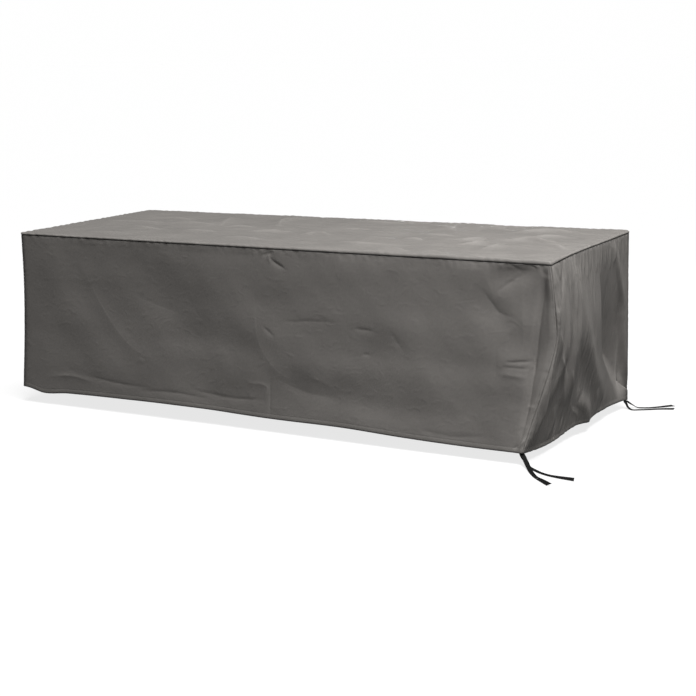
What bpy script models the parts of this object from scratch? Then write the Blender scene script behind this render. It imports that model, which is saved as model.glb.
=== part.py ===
"""A fitted patio furniture cover: five cloth panels sewn into an open box, and four tie straps.

Metres, +Z up. The origin is the centre of the top panel's underside. +X runs along the length,
-Y is the front. Depths are measured downward from the top panel's upper face.
"""

import math

import bmesh
import bpy
import numpy as np

# ---------------------------------------------------------------- driving sizes
LENGTH = 2.400
WIDTH = 0.960
SKIRT = 0.700  # nominal depth of the hem
CLOTH = 0.002
SEAM_GAP = 0.0003  # between two panels, all along their seam
GROUND_DEPTH = 0.747  # the surface that the free ends of the straps lie on

EDGE_ROLL = 0.008  # radius of the cloth where it turns over the top edge
CORNER_ZONE = 0.018  # plan size of the square in which a top corner is rounded

HALF_LENGTH = LENGTH / 2
HALF_WIDTH = WIDTH / 2
TOP_Z = CLOTH

# ---------------------------------------------------------------- grid of the cloth
ZONE_STEPS = 3  # rows from the flat top, round the roll, to the seam
SKIRT_ROWS = 13
# x of the flat columns: from, to, count
LENGTH_SPANS = (
    (-HALF_LENGTH + CORNER_ZONE, -1.05, 2),
    (-1.05, 0.85, 16),
    (0.85, HALF_LENGTH - CORNER_ZONE, 8),
)
WIDTH_SPANS = ((-HALF_WIDTH + CORNER_ZONE, HALF_WIDTH - CORNER_ZONE, 28),)

# ---------------------------------------------------------------- seam and hem
# how far the top seam hangs below the top face, by x on the front and back, by y on the ends
FRONT_SEAM = ((-1.20, 0.010), (0.00, 0.014), (0.90, 0.017), (1.20, 0.018))
RIGHT_SEAM = ((-0.48, 0.018), (-0.35, 0.012), (0.20, 0.010), (0.48, 0.011))
BACK_SEAM = ((-1.20, 0.010), (1.20, 0.011))
LEFT_SEAM = ((-0.48, 0.010), (0.48, 0.010))

# depth of the hem: x or y, depth
FRONT_HEM = (
    (-1.240, 0.679), (-1.185, 0.680), (-1.145, 0.692), (-0.980, 0.687), (-0.600, 0.682), (-0.300, 0.682),
    (0.030, 0.689), (0.400, 0.689), (0.600, 0.696), (0.900, 0.702), (1.130, 0.702),
)
RIGHT_HEM = (
    (-0.54, 0.702), (-0.48, 0.708), (-0.38, 0.715), (-0.20, 0.713), (-0.12, 0.704), (-0.05, 0.702),
    (0.03, 0.707), (0.09, 0.700), (0.25, 0.703), (0.48, 0.710),
)
BACK_HEM = ((-1.20, 0.694), (-0.50, 0.699), (0.10, 0.692), (0.70, 0.701), (1.22, 0.710))
LEFT_HEM = ((-0.48, 0.679), (-0.43, 0.688), (0.10, 0.696), (0.48, 0.694))

# how far the hem stands out from the straight line between its two corners: share of that line, out
FRONT_BOW = ((0.0, 0.0), (0.5, -0.004), (0.8, 0.003), (1.0, 0.0))
RIGHT_BOW = ((0.0, 0.0), (0.15, 0.002), (0.35, 0.000), (0.55, 0.008), (0.70, 0.002), (1.0, 0.0))
BACK_BOW = ((0.0, 0.0), (0.25, 0.012), (0.5, 0.002), (0.75, 0.014), (1.0, 0.0))
LEFT_BOW = ((0.0, 0.0), (0.5, 0.010), (1.0, 0.0))

# ---------------------------------------------------------------- corners
# Each section: depth, then as (x, y) shifts from the plan corner, where the side before the
# corner stops being flat, where the vertical seam runs, and where the next side turns flat.
FRONT_RIGHT = (
    (0.000, (-0.018, 0.000), (-0.003, 0.003), (0.000, 0.018)),
    (0.085, (-0.024, 0.000), (0.008, 0.004), (0.008, 0.034)),
    (0.165, (-0.037, 0.000), (0.013, 0.010), (0.014, 0.050)),
    (0.290, (-0.039, -0.004), (0.015, 0.020), (0.014, 0.080)),
    (0.388, (-0.055, -0.010), (-0.003, 0.004), (0.000, 0.070)),
    (0.464, (-0.068, -0.020), (-0.021, -0.010), (-0.014, 0.050)),
    (0.589, (-0.084, -0.036), (-0.056, -0.030), (-0.046, 0.010)),
    (0.702, (-0.100, -0.057), (-0.083, -0.0555), (-0.079, -0.036)),
)
BACK_RIGHT = (
    (0.000, (0.000, -0.018), (-0.007, -0.007), (-0.018, 0.000)),
    (0.150, (0.002, -0.024), (-0.005, -0.008), (-0.026, -0.001)),
    (0.350, (0.006, -0.032), (0.000, -0.012), (-0.024, -0.004)),
    (0.550, (0.010, -0.040), (0.006, -0.021), (-0.017, -0.014)),
    (0.710, (0.012, -0.050), (0.013, -0.033), (-0.005, -0.030)),
)
BACK_LEFT = (
    (0.000, (0.018, 0.000), (0.006, -0.006), (0.000, -0.018)),
    (0.350, (0.022, 0.006), (0.003, -0.002), (-0.005, -0.022)),
    (0.694, (0.012, 0.014), (-0.008, 0.008), (-0.012, -0.014)),
)
FRONT_LEFT = (
    (0.000, (0.000, 0.018), (0.005, 0.005), (0.018, 0.000)),
    (0.200, (-0.002, 0.022), (0.003, 0.006), (0.022, 0.000)),
    (0.400, (-0.014, 0.024), (-0.008, 0.006), (0.016, -0.002)),
    (0.679, (-0.036, 0.022), (-0.031, 0.003), (-0.008, -0.005)),
)

# ---------------------------------------------------------------- folds
# Each fold: its line on the panel as (x or y, depth) points, its half width, and its height.
# A height below zero is a trough.
FRONT_FOLDS = (
    (((-1.08, 0.06), (-0.95, 0.30), (-0.70, 0.60)), 0.090, 0.004),
    (((-0.62, 0.05), (-0.40, 0.30), (-0.28, 0.62)), 0.100, -0.004),
    (((-0.30, 0.10), (0.05, 0.38), (0.40, 0.55)), 0.080, 0.005),
    (((0.10, 0.52), (0.35, 0.56), (0.60, 0.62)), 0.060, -0.004),
    (((0.30, 0.08), (0.62, 0.30), (0.84, 0.62)), 0.090, 0.004),
    (((0.88, 0.14), (0.97, 0.19), (1.06, 0.26)), 0.050, -0.005),
    (((0.96, 0.10), (1.06, 0.06), (1.16, 0.03)), 0.040, -0.005),
    (((1.00, 0.38), (1.07, 0.38), (1.12, 0.39)), 0.045, 0.004),
    (((1.183, 0.06), (1.183, 0.20), (1.178, 0.30), (1.158, 0.40), (1.132, 0.52), (1.115, 0.62)),
     0.020, -0.012),
)
RIGHT_FOLDS = (
    (((-0.38, 0.06), (-0.35, 0.18), (-0.35, 0.34), (-0.40, 0.46), (-0.47, 0.58)), 0.036, 0.010),
    (((-0.30, 0.10), (-0.28, 0.30), (-0.31, 0.55)), 0.030, -0.009),
    (((-0.24, 0.08), (-0.23, 0.37), (-0.24, 0.60)), 0.032, 0.010),
    (((-0.16, 0.18), (-0.13, 0.38), (-0.14, 0.56)), 0.034, -0.010),
    (((-0.20, 0.04), (-0.10, 0.22), (0.00, 0.36), (0.11, 0.48), (0.26, 0.62)), 0.044, 0.017),
    (((0.10, 0.03), (0.17, 0.14), (0.23, 0.28), (0.27, 0.46)), 0.060, -0.016),
    (((0.22, 0.02), (0.31, 0.13), (0.35, 0.22), (0.39, 0.33)), 0.034, 0.009),
    (((-0.10, 0.60), (-0.02, 0.66), (0.04, 0.71)), 0.040, 0.014),
)
BACK_FOLDS = (
    (((-0.95, 0.05), (-0.88, 0.35), (-0.80, 0.66)), 0.090, 0.006),
    (((-0.40, 0.04), (-0.36, 0.34), (-0.42, 0.66)), 0.080, -0.006),
    (((0.12, 0.05), (0.20, 0.36), (0.16, 0.66)), 0.100, 0.007),
    (((0.66, 0.04), (0.60, 0.32), (0.70, 0.66)), 0.090, -0.006),
)
LEFT_FOLDS = (
    (((-0.24, 0.04), (-0.20, 0.36), (-0.26, 0.66)), 0.050, 0.008),
    (((0.06, 0.05), (0.02, 0.34), (0.08, 0.66)), 0.055, -0.007),
    (((0.30, 0.04), (0.26, 0.38), (0.32, 0.66)), 0.050, 0.007),
)
# on the top panel: (x, y) points, half width, height
TOP_FOLDS = (
    (((-0.95, 0.30), (-0.35, 0.24), (0.30, 0.27)), 0.055, 0.0030),
    (((-0.70, 0.05), (0.05, 0.02), (0.70, 0.08)), 0.060, 0.0030),
    (((0.10, -0.20), (0.55, -0.16), (1.05, -0.22)), 0.055, 0.0035),
    (((0.45, 0.20), (0.80, 0.17), (1.12, 0.22)), 0.055, 0.0030),
    (((-1.05, -0.24), (-0.50, -0.28), (0.05, -0.25)), 0.055, 0.0025),
)
SEAM_CALM = 0.030  # folds fade out over this distance from a seam
TOP_CALM = 0.010  # and start this far below the top edge
BOW_GROWTH = 1.4  # a bow grows with this power of the depth
FOLD_STEPS = 8  # straight runs between two points of a fold's line
FOLD_TAPER = 0.6  # the lower, the longer a fold keeps its full height
FOLD_END = 0.02  # share of a fold's line, at each end, that keeps the height of its very end
SHARP_ANGLE = math.radians(50)

# ---------------------------------------------------------------- tie straps
STRAP_WIDTH = 0.018
STRAP_THICK = 0.0015
STRAP_STEP = 0.010  # distance between two sections
STRAP_CURVE_STEPS = 24  # straight runs between two points of a strap's route
STRAP_REST = 0.0002  # clearance to the surface below
LIE_Z = TOP_Z - GROUND_DEPTH + STRAP_THICK / 2 + STRAP_REST
# Each point: x, y, z, heading of the strap's width in plan in degrees, lean of that width in degrees
TIE_FRONT_A = (
    (1.1095, -0.5235, -0.6830, 42, 0),
    (1.1110, -0.5262, -0.7000, 42, 0),
    (1.1240, -0.5340, -0.7160, 40, 0),
    (1.1390, -0.5520, -0.7290, 38, 0),
    (1.1580, -0.5780, LIE_Z + 0.0055, 38, -2),
    (1.1816, -0.6140, LIE_Z + 0.0010, 38, 0),
    (1.2107, -0.6540, LIE_Z, 42, 0),
    (1.2383, -0.6845, LIE_Z + 0.0020, 47, 12),
    (1.2644, -0.7105, LIE_Z + 0.0035, 52, 20),
    (1.2910, -0.7370, LIE_Z + 0.0045, 56, 24),
)
TIE_FRONT_B = (
    (1.1077, -0.5215, -0.6830, 42, 0),
    (1.1090, -0.5242, -0.7000, 42, 0),
    (1.1160, -0.5240, -0.7170, 45, 0),
    (1.1320, -0.5330, -0.7310, 50, 0),
    (1.1510, -0.5600, LIE_Z + 0.0040, 50, 3),
    (1.1810, -0.5780, LIE_Z, 52, 0),
    (1.2157, -0.6040, LIE_Z, 60, 0),
    (1.2530, -0.6215, LIE_Z + 0.0005, 70, 4),
    (1.2980, -0.6345, LIE_Z + 0.0025, 80, 14),
    (1.3500, -0.6430, LIE_Z + 0.0040, 88, 24),
)
TIE_BACK_A = (
    (1.2050, 0.4375, -0.6900, 80, 0),
    (1.2042, 0.4372, -0.7120, 80, 0),
    (1.2115, 0.4385, -0.7230, 80, 0),
    (1.2210, 0.4350, LIE_Z + 0.0070, 86, 0),
    (1.2400, 0.4270, LIE_Z, 98, 0),
    (1.2680, 0.4385, LIE_Z, 112, 0),
    (1.2970, 0.4560, LIE_Z, 120, 0),
    (1.3280, 0.4760, LIE_Z + 0.0005, 120, 2),
    (1.3610, 0.4930, LIE_Z + 0.0010, 114, 5),
    (1.3960, 0.5060, LIE_Z + 0.0015, 108, 8),
)
TIE_BACK_B = (
    (1.2076, 0.4376, -0.6900, 80, 0),
    (1.2075, 0.4376, -0.7100, 80, 0),
    (1.2175, 0.4450, -0.7168, 88, 0),
    (1.2320, 0.4580, -0.7295, 108, 0),
    (1.2500, 0.4690, LIE_Z + 0.0020, 122, 0),
    (1.2730, 0.4780, LIE_Z, 124, 0),
    (1.3000, 0.4930, LIE_Z, 126, 0),
    (1.3270, 0.5140, LIE_Z + 0.0005, 128, 2),
    (1.3520, 0.5380, LIE_Z + 0.0010, 130, 5),
    (1.3765, 0.5620, LIE_Z + 0.0015, 130, 8),
)

STRAPS = {
    "tie_front_a": TIE_FRONT_A,
    "tie_front_b": TIE_FRONT_B,
    "tie_back_a": TIE_BACK_A,
    "tie_back_b": TIE_BACK_B,
}

# ---------------------------------------------------------------- materials: colour, roughness
CLOTH_GREY = ((0.118, 0.112, 0.104), 0.62)
STRAP_BLACK = ((0.012, 0.012, 0.012), 0.55)


def clear_scene():
    for thing in list(bpy.data.objects):
        bpy.data.objects.remove(thing, do_unlink=True)


def material(name, look):
    colour, roughness = look
    made = bpy.data.materials.new(name)
    made.use_nodes = True
    shader = made.node_tree.nodes["Principled BSDF"]
    shader.inputs["Base Color"].default_value = (*colour, 1.0)
    shader.inputs["Roughness"].default_value = roughness
    shader.inputs["Metallic"].default_value = 0.0
    return made


def table_value(rows, at, column=1):
    return np.interp(at, [row[0] for row in rows], [row[column] for row in rows])


def smooth_curve(points, steps):
    """Points on a Catmull-Rom curve through the given ones, with that many steps between two."""
    given = np.array(points, float)
    padded = np.vstack([2 * given[0] - given[1], given, 2 * given[-1] - given[-2]])
    out = []
    for before, start, end, after in zip(padded, padded[1:], padded[2:], padded[3:]):
        for share in np.arange(steps) / steps:
            out.append(
                0.5 * (2 * start + (end - before) * share
                       + (2 * before - 5 * start + 4 * end - after) * share**2
                       + (3 * start - before - 3 * end + after) * share**3)
            )
    return np.array(out + [given[-1]])


def fold_height(across, depth, folds):
    """The sum of the folds at each point of a panel, given as two arrays of places."""
    total = np.zeros_like(across)
    for line, half_width, height in folds:
        route = smooth_curve(line, FOLD_STEPS)
        starts, steps = route[:-1], np.diff(route, axis=0)
        lengths = np.linalg.norm(steps, axis=1)
        passed = np.concatenate([[0.0], np.cumsum(lengths)])
        offset = np.stack([across, depth], -1)[:, None, :] - starts
        share = np.clip((offset * steps).sum(-1) / lengths**2, 0.0, 1.0)
        away = np.linalg.norm(offset - share[..., None] * steps, axis=-1)
        nearest = away.argmin(axis=1)
        rows = np.arange(len(across))
        along = (passed[nearest] + share[rows, nearest] * lengths[nearest]) / passed[-1]
        taper = np.sin(np.pi * np.clip(along, FOLD_END, 1 - FOLD_END)) ** FOLD_TAPER
        total += height * taper * np.exp(-((away[rows, nearest] / half_width) ** 2))
    return total


# ---------------------------------------------------------------- outline of the cloth
CORNERS = (
    (FRONT_LEFT, -1, -1),
    (FRONT_RIGHT, 1, -1),
    (BACK_RIGHT, 1, 1),
    (BACK_LEFT, -1, 1),
)


def corner_point(corner, depth, turn):
    """A point of the outline at a corner: turn 0 is its first flat end, 0.5 its seam, 1 its second."""
    sections, side_x, side_y = corner
    depths = [row[0] for row in sections]
    before, seam, after = (
        np.array([np.interp(depth, depths, [row[column][axis] for row in sections]) for axis in (0, 1)])
        for column in (1, 2, 3)
    )
    pull = 2 * seam - (before + after) / 2
    place = (1 - turn) ** 2 * before + 2 * turn * (1 - turn) * pull + turn**2 * after
    return np.array([side_x * HALF_LENGTH, side_y * HALF_WIDTH]) + place


class Side:
    """One skirt panel's stretch of the outline, from one corner seam to the next."""

    def __init__(self, name, first, second, spans, bow, seam, hem, folds, axis):
        self.name = name
        self.first = first
        self.second = second
        self.bow = bow
        self.seam = seam
        self.hem = hem
        self.folds = folds
        self.axis = axis
        runs = [np.linspace(start, end, count + 1)[:-1] for start, end, count in spans]
        places = np.concatenate(runs + [[spans[-1][1]]])
        shares = (places - places[0]) / (places[-1] - places[0])
        self.shares = shares if first < 2 else (1 - shares)[::-1]
        self.flat_count = len(self.shares) - 1

    def columns(self):
        """Where each column stands: its corner and turn, or its share of the flat stretch."""
        turns = np.arange(ZONE_STEPS) / (2 * ZONE_STEPS)
        leaving = [("corner", self.first, 0.5 + turn) for turn in turns]
        flat = [("flat", self, share) for share in self.shares]
        arriving = [("corner", self.second, turn) for turn in turns[1:]]
        return leaving + flat + arriving

    def flat_point(self, share, depth):
        start = corner_point(CORNERS[self.first], depth, 1.0)
        end = corner_point(CORNERS[self.second], depth, 0.0)
        run = (end - start) / np.linalg.norm(end - start)
        outward = np.array([run[1], -run[0]])
        reach = (depth / SKIRT) ** BOW_GROWTH
        return start + (end - start) * share + outward * table_value(self.bow, share) * reach


SIDES = (
    Side("front_panel", 0, 1, LENGTH_SPANS, FRONT_BOW, FRONT_SEAM, FRONT_HEM, FRONT_FOLDS, 0),
    Side("right_end_panel", 1, 2, WIDTH_SPANS, RIGHT_BOW, RIGHT_SEAM, RIGHT_HEM, RIGHT_FOLDS, 1),
    Side("back_panel", 2, 3, LENGTH_SPANS, BACK_BOW, BACK_SEAM, BACK_HEM, BACK_FOLDS, 0),
    Side("left_end_panel", 3, 0, WIDTH_SPANS, LEFT_BOW, LEFT_SEAM, LEFT_HEM, LEFT_FOLDS, 1),
)


def outline_point(column, depth):
    kind, where, share = column
    if kind == "corner":
        return corner_point(CORNERS[where], depth, share)
    return where.flat_point(share, depth)


def roll_section(step):
    """Radial share and depth of a row of the rolled edge; the last row is the seam itself."""
    angle = math.radians(90) * min(step, ZONE_STEPS - 1) / (ZONE_STEPS - 1)
    if step == 0:
        return 0.0, 0.0
    flat = CORNER_ZONE - EDGE_ROLL
    return (flat + EDGE_ROLL * math.sin(angle)) / CORNER_ZONE, EDGE_ROLL * (1 - math.cos(angle))


# ---------------------------------------------------------------- the cloth as one surface
class Cloth:
    """The whole cover's outer face as one grid, so that neighbouring panels meet exactly."""

    def __init__(self):
        self.points = []
        self.faces = []  # (panel name, four corners)
        self.index = {}
        self.build_skirt()
        self.build_top()
        self.points = np.array(self.points)
        self.normals = self.vertex_normals()
        self.raise_folds()
        self.normals = self.vertex_normals()

    def add(self, key, point):
        if key not in self.index:
            self.index[key] = len(self.points)
            self.points.append(point)
        return self.index[key]

    def build_skirt(self):
        self.ring = []
        for side in SIDES:
            for column in side.columns():
                self.ring.append((side, column))
        count = len(self.ring)
        for k, (side, column) in enumerate(self.ring):
            seam_place = outline_point(column, 0.0)[side.axis]
            seam_depth = table_value(side.seam, seam_place)
            hem_place = outline_point(column, SKIRT)[side.axis]
            hem_depth = table_value(side.hem, hem_place)
            for row in range(SKIRT_ROWS + 1):
                depth = seam_depth + (hem_depth - seam_depth) * row / SKIRT_ROWS
                x, y = outline_point(column, depth if row else 0.0)
                self.add(("skirt", k, row), (x, y, TOP_Z - depth))
        for k, (side, _) in enumerate(self.ring):
            following = (k + 1) % count
            for row in range(SKIRT_ROWS):
                corners = (("skirt", k, row), ("skirt", k, row + 1),
                           ("skirt", following, row + 1), ("skirt", following, row))
                self.faces.append((side.name, [self.index[key] for key in corners]))

    def top_key(self, i, j):
        """The grid key of a top point: one on the rim is the skirt's own first row."""
        across = self.top_columns
        if j == 0:
            return ("skirt", i, 0)
        if i == across:
            return ("skirt", across + j, 0)
        if j == self.top_rows:
            return ("skirt", 2 * across + self.top_rows - i, 0)
        if i == 0:
            return ("skirt", (2 * across + 2 * self.top_rows - j) % len(self.ring), 0)
        return ("top", i, j)

    def top_point(self, i, j):
        left, right = i, self.top_columns - i
        front, back = j, self.top_rows - j
        near_x, near_y = min(left, right), min(front, back)
        flat_x = self.flat_places(self.top_columns, i, HALF_LENGTH, SIDES[0].shares)
        flat_y = self.flat_places(self.top_rows, j, HALF_WIDTH, SIDES[1].shares)
        steps = ZONE_STEPS - min(near_x, near_y)
        if steps <= 0:
            return (flat_x, flat_y, TOP_Z)
        anchor = np.array([flat_x, flat_y])
        if near_x < ZONE_STEPS and near_y < ZONE_STEPS:
            rim = self.corner_rim(left <= right, front <= back, ZONE_STEPS - near_x, ZONE_STEPS - near_y)
        elif near_y < near_x:
            rim = np.array([flat_x, math.copysign(HALF_WIDTH, flat_y)])
        else:
            rim = np.array([math.copysign(HALF_LENGTH, flat_x), flat_y])
        share, drop = roll_section(steps)
        x, y = anchor + (rim - anchor) * share
        return (x, y, TOP_Z - drop)

    def flat_places(self, count, k, half, shares):
        inner = min(max(k - ZONE_STEPS, 0), count - 2 * ZONE_STEPS)
        return -(half - CORNER_ZONE) + 2 * (half - CORNER_ZONE) * shares[inner]

    def corner_rim(self, is_left, is_front, out_x, out_y):
        """The outline point that a row of the rolled corner heads for."""
        # bend is 0 where the corner meets the end and 1 where it meets the long side
        bend = out_y / out_x / 2 if out_x >= out_y else 1 - out_x / out_y / 2
        number, turn = {
            (True, True): (0, bend),
            (False, True): (1, 1 - bend),
            (False, False): (2, bend),
            (True, False): (3, 1 - bend),
        }[(is_left, is_front)]
        return corner_point(CORNERS[number], 0.0, turn)

    def build_top(self):
        self.top_columns = SIDES[0].flat_count + 2 * ZONE_STEPS
        self.top_rows = SIDES[1].flat_count + 2 * ZONE_STEPS
        for i in range(self.top_columns + 1):
            for j in range(self.top_rows + 1):
                key = self.top_key(i, j)
                if key[0] == "top":
                    self.add(key, self.top_point(i, j))
        for i in range(self.top_columns):
            for j in range(self.top_rows):
                corners = ((i, j), (i + 1, j), (i + 1, j + 1), (i, j + 1))
                self.faces.append(("top_panel", [self.index[self.top_key(*corner)] for corner in corners]))

    def vertex_normals(self):
        corners = self.points[np.array([face for _, face in self.faces])]
        flat = np.cross(corners[:, 2] - corners[:, 0], corners[:, 3] - corners[:, 1])
        flat /= np.linalg.norm(flat, axis=1)[:, None]
        summed = np.zeros_like(self.points)
        for (_, face), normal in zip(self.faces, flat):
            summed[face] += normal
        return summed / np.linalg.norm(summed, axis=1)[:, None]

    def raise_folds(self):
        lift = np.zeros(len(self.points))
        for side in SIDES:
            numbers = [n for (key, k, row), n in self.index.items()
                       if key == "skirt" and self.ring[k][0] is side]
            spots = self.points[numbers]
            across = spots[:, side.axis]
            depth = TOP_Z - spots[:, 2]
            first = self.seam_line(side.first, depth)[:, side.axis]
            second = self.seam_line(side.second, depth)[:, side.axis]
            clear = np.minimum(abs(across - first), abs(across - second))
            calm = np.clip(clear / SEAM_CALM, 0, 1) * np.clip((depth - TOP_CALM) / SEAM_CALM, 0, 1)
            lift[numbers] += fold_height(across, depth, side.folds) * calm
        numbers = [n for (key, *_), n in self.index.items() if key == "top"]
        spots = self.points[numbers]
        edge = np.minimum(HALF_LENGTH - abs(spots[:, 0]), HALF_WIDTH - abs(spots[:, 1]))
        calm = np.clip((edge - CORNER_ZONE) / SEAM_CALM, 0, 1)
        lift[numbers] += fold_height(spots[:, 0], spots[:, 1], TOP_FOLDS) * calm
        self.points = self.points + self.normals * lift[:, None]

    def seam_line(self, number, depth):
        return np.array([corner_point(CORNERS[number], d, 0.5) for d in depth])

    def panel(self, name):
        """One panel as a closed sheet: its outer face, its inner face and the rim between them."""
        faces = [face for panel, face in self.faces if panel == name]
        used = sorted({n for face in faces for n in face})
        local = {n: k for k, n in enumerate(used)}
        edges = {edge for face in faces for edge in zip(face, face[1:] + face[:1])}
        rim = sorted(edge for edge in edges if edge[::-1] not in edges)
        hem = {self.index[("skirt", k, SKIRT_ROWS)] for k in range(len(self.ring))}
        outer = self.points[used]
        normals = self.normals[used]
        inward = np.zeros_like(outer)
        for a, b in rim:
            if a in hem and b in hem:
                continue
            along = self.points[b] - self.points[a]
            for n in (a, b):
                step = np.cross(self.normals[n], along)
                inward[local[n]] += step / np.linalg.norm(step)
        size = np.linalg.norm(inward, axis=1)
        inward[size > 0] /= size[size > 0][:, None]
        inward *= SEAM_GAP / 2
        outer = outer + inward
        inner = outer - normals * CLOTH
        count = len(used)
        sheet = [[local[n] for n in face] for face in faces]
        back = [[local[n] + count for n in reversed(face)] for face in faces]
        wall = [[local[b], local[a], local[a] + count, local[b] + count] for a, b in rim]
        return np.vstack([outer, inner]), sheet + back + wall


def mesh_object(name, points, faces, look):
    mesh = bpy.data.meshes.new(name)
    mesh.from_pydata([tuple(point) for point in points], [], faces)
    cleaned = bmesh.new()
    cleaned.from_mesh(mesh)
    bmesh.ops.recalc_face_normals(cleaned, faces=cleaned.faces)
    cleaned.to_mesh(mesh)
    cleaned.free()
    mesh.shade_smooth()
    mesh.set_sharp_from_angle(angle=SHARP_ANGLE)
    mesh.materials.append(material(name, look))
    made = bpy.data.objects.new(name, mesh)
    bpy.context.scene.collection.objects.link(made)


def strap_sections(route):
    """Evenly spaced points of a strap's middle line, each with the direction of its width."""
    fine = smooth_curve(route, STRAP_CURVE_STEPS)
    passed = np.concatenate([[0.0], np.cumsum(np.linalg.norm(np.diff(fine[:, :3], axis=0), axis=1))])
    count = max(2, round(passed[-1] / STRAP_STEP))
    stops = np.linspace(0, passed[-1], count + 1)
    values = np.stack([np.interp(stops, passed, fine[:, column]) for column in range(5)], axis=-1)
    places = values[:, :3]
    heading, lean = np.radians(values[:, 3]), np.radians(values[:, 4])
    width = np.stack([np.cos(heading) * np.cos(lean), np.sin(heading) * np.cos(lean), np.sin(lean)], axis=-1)
    tangent = np.gradient(places, axis=0)
    tangent /= np.linalg.norm(tangent, axis=1)[:, None]
    width -= tangent * (width * tangent).sum(1)[:, None]
    width /= np.linalg.norm(width, axis=1)[:, None]
    return places, tangent, width


def strap(name, route):
    places, tangent, width = strap_sections(route)
    thick = np.cross(tangent, width)
    corners = ((-1, -1), (1, -1), (1, 1), (-1, 1))
    rings = [places + width * STRAP_WIDTH / 2 * a + thick * STRAP_THICK / 2 * b for a, b in corners]
    points = np.stack(rings, axis=1).reshape(-1, 3)
    faces = []
    last = len(places) - 1
    for section in range(last):
        for side in range(4):
            here, beside = 4 * section + side, 4 * section + (side + 1) % 4
            faces.append([here, beside, beside + 4, here + 4])
    faces += [[3, 2, 1, 0], [4 * last + side for side in range(4)]]
    mesh_object(name, points, faces, STRAP_BLACK)


def main():
    clear_scene()
    cloth = Cloth()
    for name in ("top_panel", *(side.name for side in SIDES)):
        points, faces = cloth.panel(name)
        mesh_object(name, points, faces, CLOTH_GREY)
    for name, route in STRAPS.items():
        strap(name, route)


main()
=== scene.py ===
"""Looks of a fitted patio furniture cover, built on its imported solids.

Metres, +Z up. The origin is the centre of the top panel's underside, +X runs along the length and
-Y is the front. Depths are measured downward from the top panel's upper face. The tables of folds,
creases and gathers are in millimetres.
"""

import math
from dataclasses import dataclass

import bpy
import numpy as np
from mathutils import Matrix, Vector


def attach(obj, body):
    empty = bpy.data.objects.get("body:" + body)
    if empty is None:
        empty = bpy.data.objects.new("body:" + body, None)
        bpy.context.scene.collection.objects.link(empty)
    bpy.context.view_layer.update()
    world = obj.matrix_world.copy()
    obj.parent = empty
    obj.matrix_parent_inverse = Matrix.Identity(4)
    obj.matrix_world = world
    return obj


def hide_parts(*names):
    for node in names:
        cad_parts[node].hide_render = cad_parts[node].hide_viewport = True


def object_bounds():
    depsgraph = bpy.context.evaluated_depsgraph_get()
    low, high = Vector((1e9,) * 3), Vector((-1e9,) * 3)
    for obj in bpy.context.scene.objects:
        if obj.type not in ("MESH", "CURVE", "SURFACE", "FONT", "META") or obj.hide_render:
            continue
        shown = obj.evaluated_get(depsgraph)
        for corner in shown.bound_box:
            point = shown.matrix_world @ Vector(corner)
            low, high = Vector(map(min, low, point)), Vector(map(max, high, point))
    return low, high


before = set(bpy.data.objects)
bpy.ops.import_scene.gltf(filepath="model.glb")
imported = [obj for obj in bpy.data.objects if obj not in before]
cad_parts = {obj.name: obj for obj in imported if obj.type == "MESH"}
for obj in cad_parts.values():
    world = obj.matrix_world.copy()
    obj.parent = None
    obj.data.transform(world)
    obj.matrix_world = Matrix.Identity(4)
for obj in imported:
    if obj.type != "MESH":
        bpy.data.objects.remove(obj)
CAD_BOX = [list(corner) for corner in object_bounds()]
FLOOR_Z = CAD_BOX[0][2]

bl_info = {
    "name": "Patio furniture cover",
    "version": (1, 0, 0),
    "blender": (4, 5, 0),
    "location": "3D View > Sidebar > Cover",
    "description": "Sews a fitted patio furniture cover from five cloth panels and four tie straps",
    "category": "Object",
}

# ---------------------------------------------------------------- sizes shared with the solids
LENGTH = 2.400
WIDTH = 0.960
SKIRT = 0.700  # nominal depth of the hem
GROUND_DEPTH = 0.747
EDGE_ROLL = 0.008  # radius of the cloth where it turns over the top edge
CORNER_ZONE = 0.018  # plan size of the square in which a top corner is rounded
TOP_Z = 0.002
HALF_LENGTH = LENGTH / 2
HALF_WIDTH = WIDTH / 2
FLAT_LENGTH = HALF_LENGTH - CORNER_ZONE
FLAT_WIDTH = HALF_WIDTH - CORNER_ZONE

# how far the top seam hangs below the top face, by x on the front and back, by y on the ends
FRONT_SEAM = ((-1.20, 0.010), (0.00, 0.014), (0.90, 0.017), (1.20, 0.018))
RIGHT_SEAM = ((-0.48, 0.018), (-0.35, 0.012), (0.20, 0.010), (0.48, 0.011))
BACK_SEAM = ((-1.20, 0.010), (1.20, 0.011))
LEFT_SEAM = ((-0.48, 0.010), (0.48, 0.010))

# depth of the hem: x or y, depth
FRONT_HEM = (
    (-1.240, 0.679), (-1.185, 0.680), (-1.145, 0.692), (-0.980, 0.687), (-0.600, 0.682), (-0.300, 0.682),
    (0.030, 0.689), (0.400, 0.689), (0.600, 0.696), (0.900, 0.702), (1.130, 0.702),
)
RIGHT_HEM = (
    (-0.54, 0.702), (-0.48, 0.708), (-0.38, 0.715), (-0.20, 0.713), (-0.12, 0.704), (-0.05, 0.702),
    (0.03, 0.707), (0.09, 0.700), (0.25, 0.703), (0.48, 0.710),
)
BACK_HEM = ((-1.20, 0.694), (-0.50, 0.699), (0.10, 0.692), (0.70, 0.701), (1.22, 0.710))
LEFT_HEM = ((-0.48, 0.679), (-0.43, 0.688), (0.10, 0.696), (0.48, 0.694))

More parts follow.
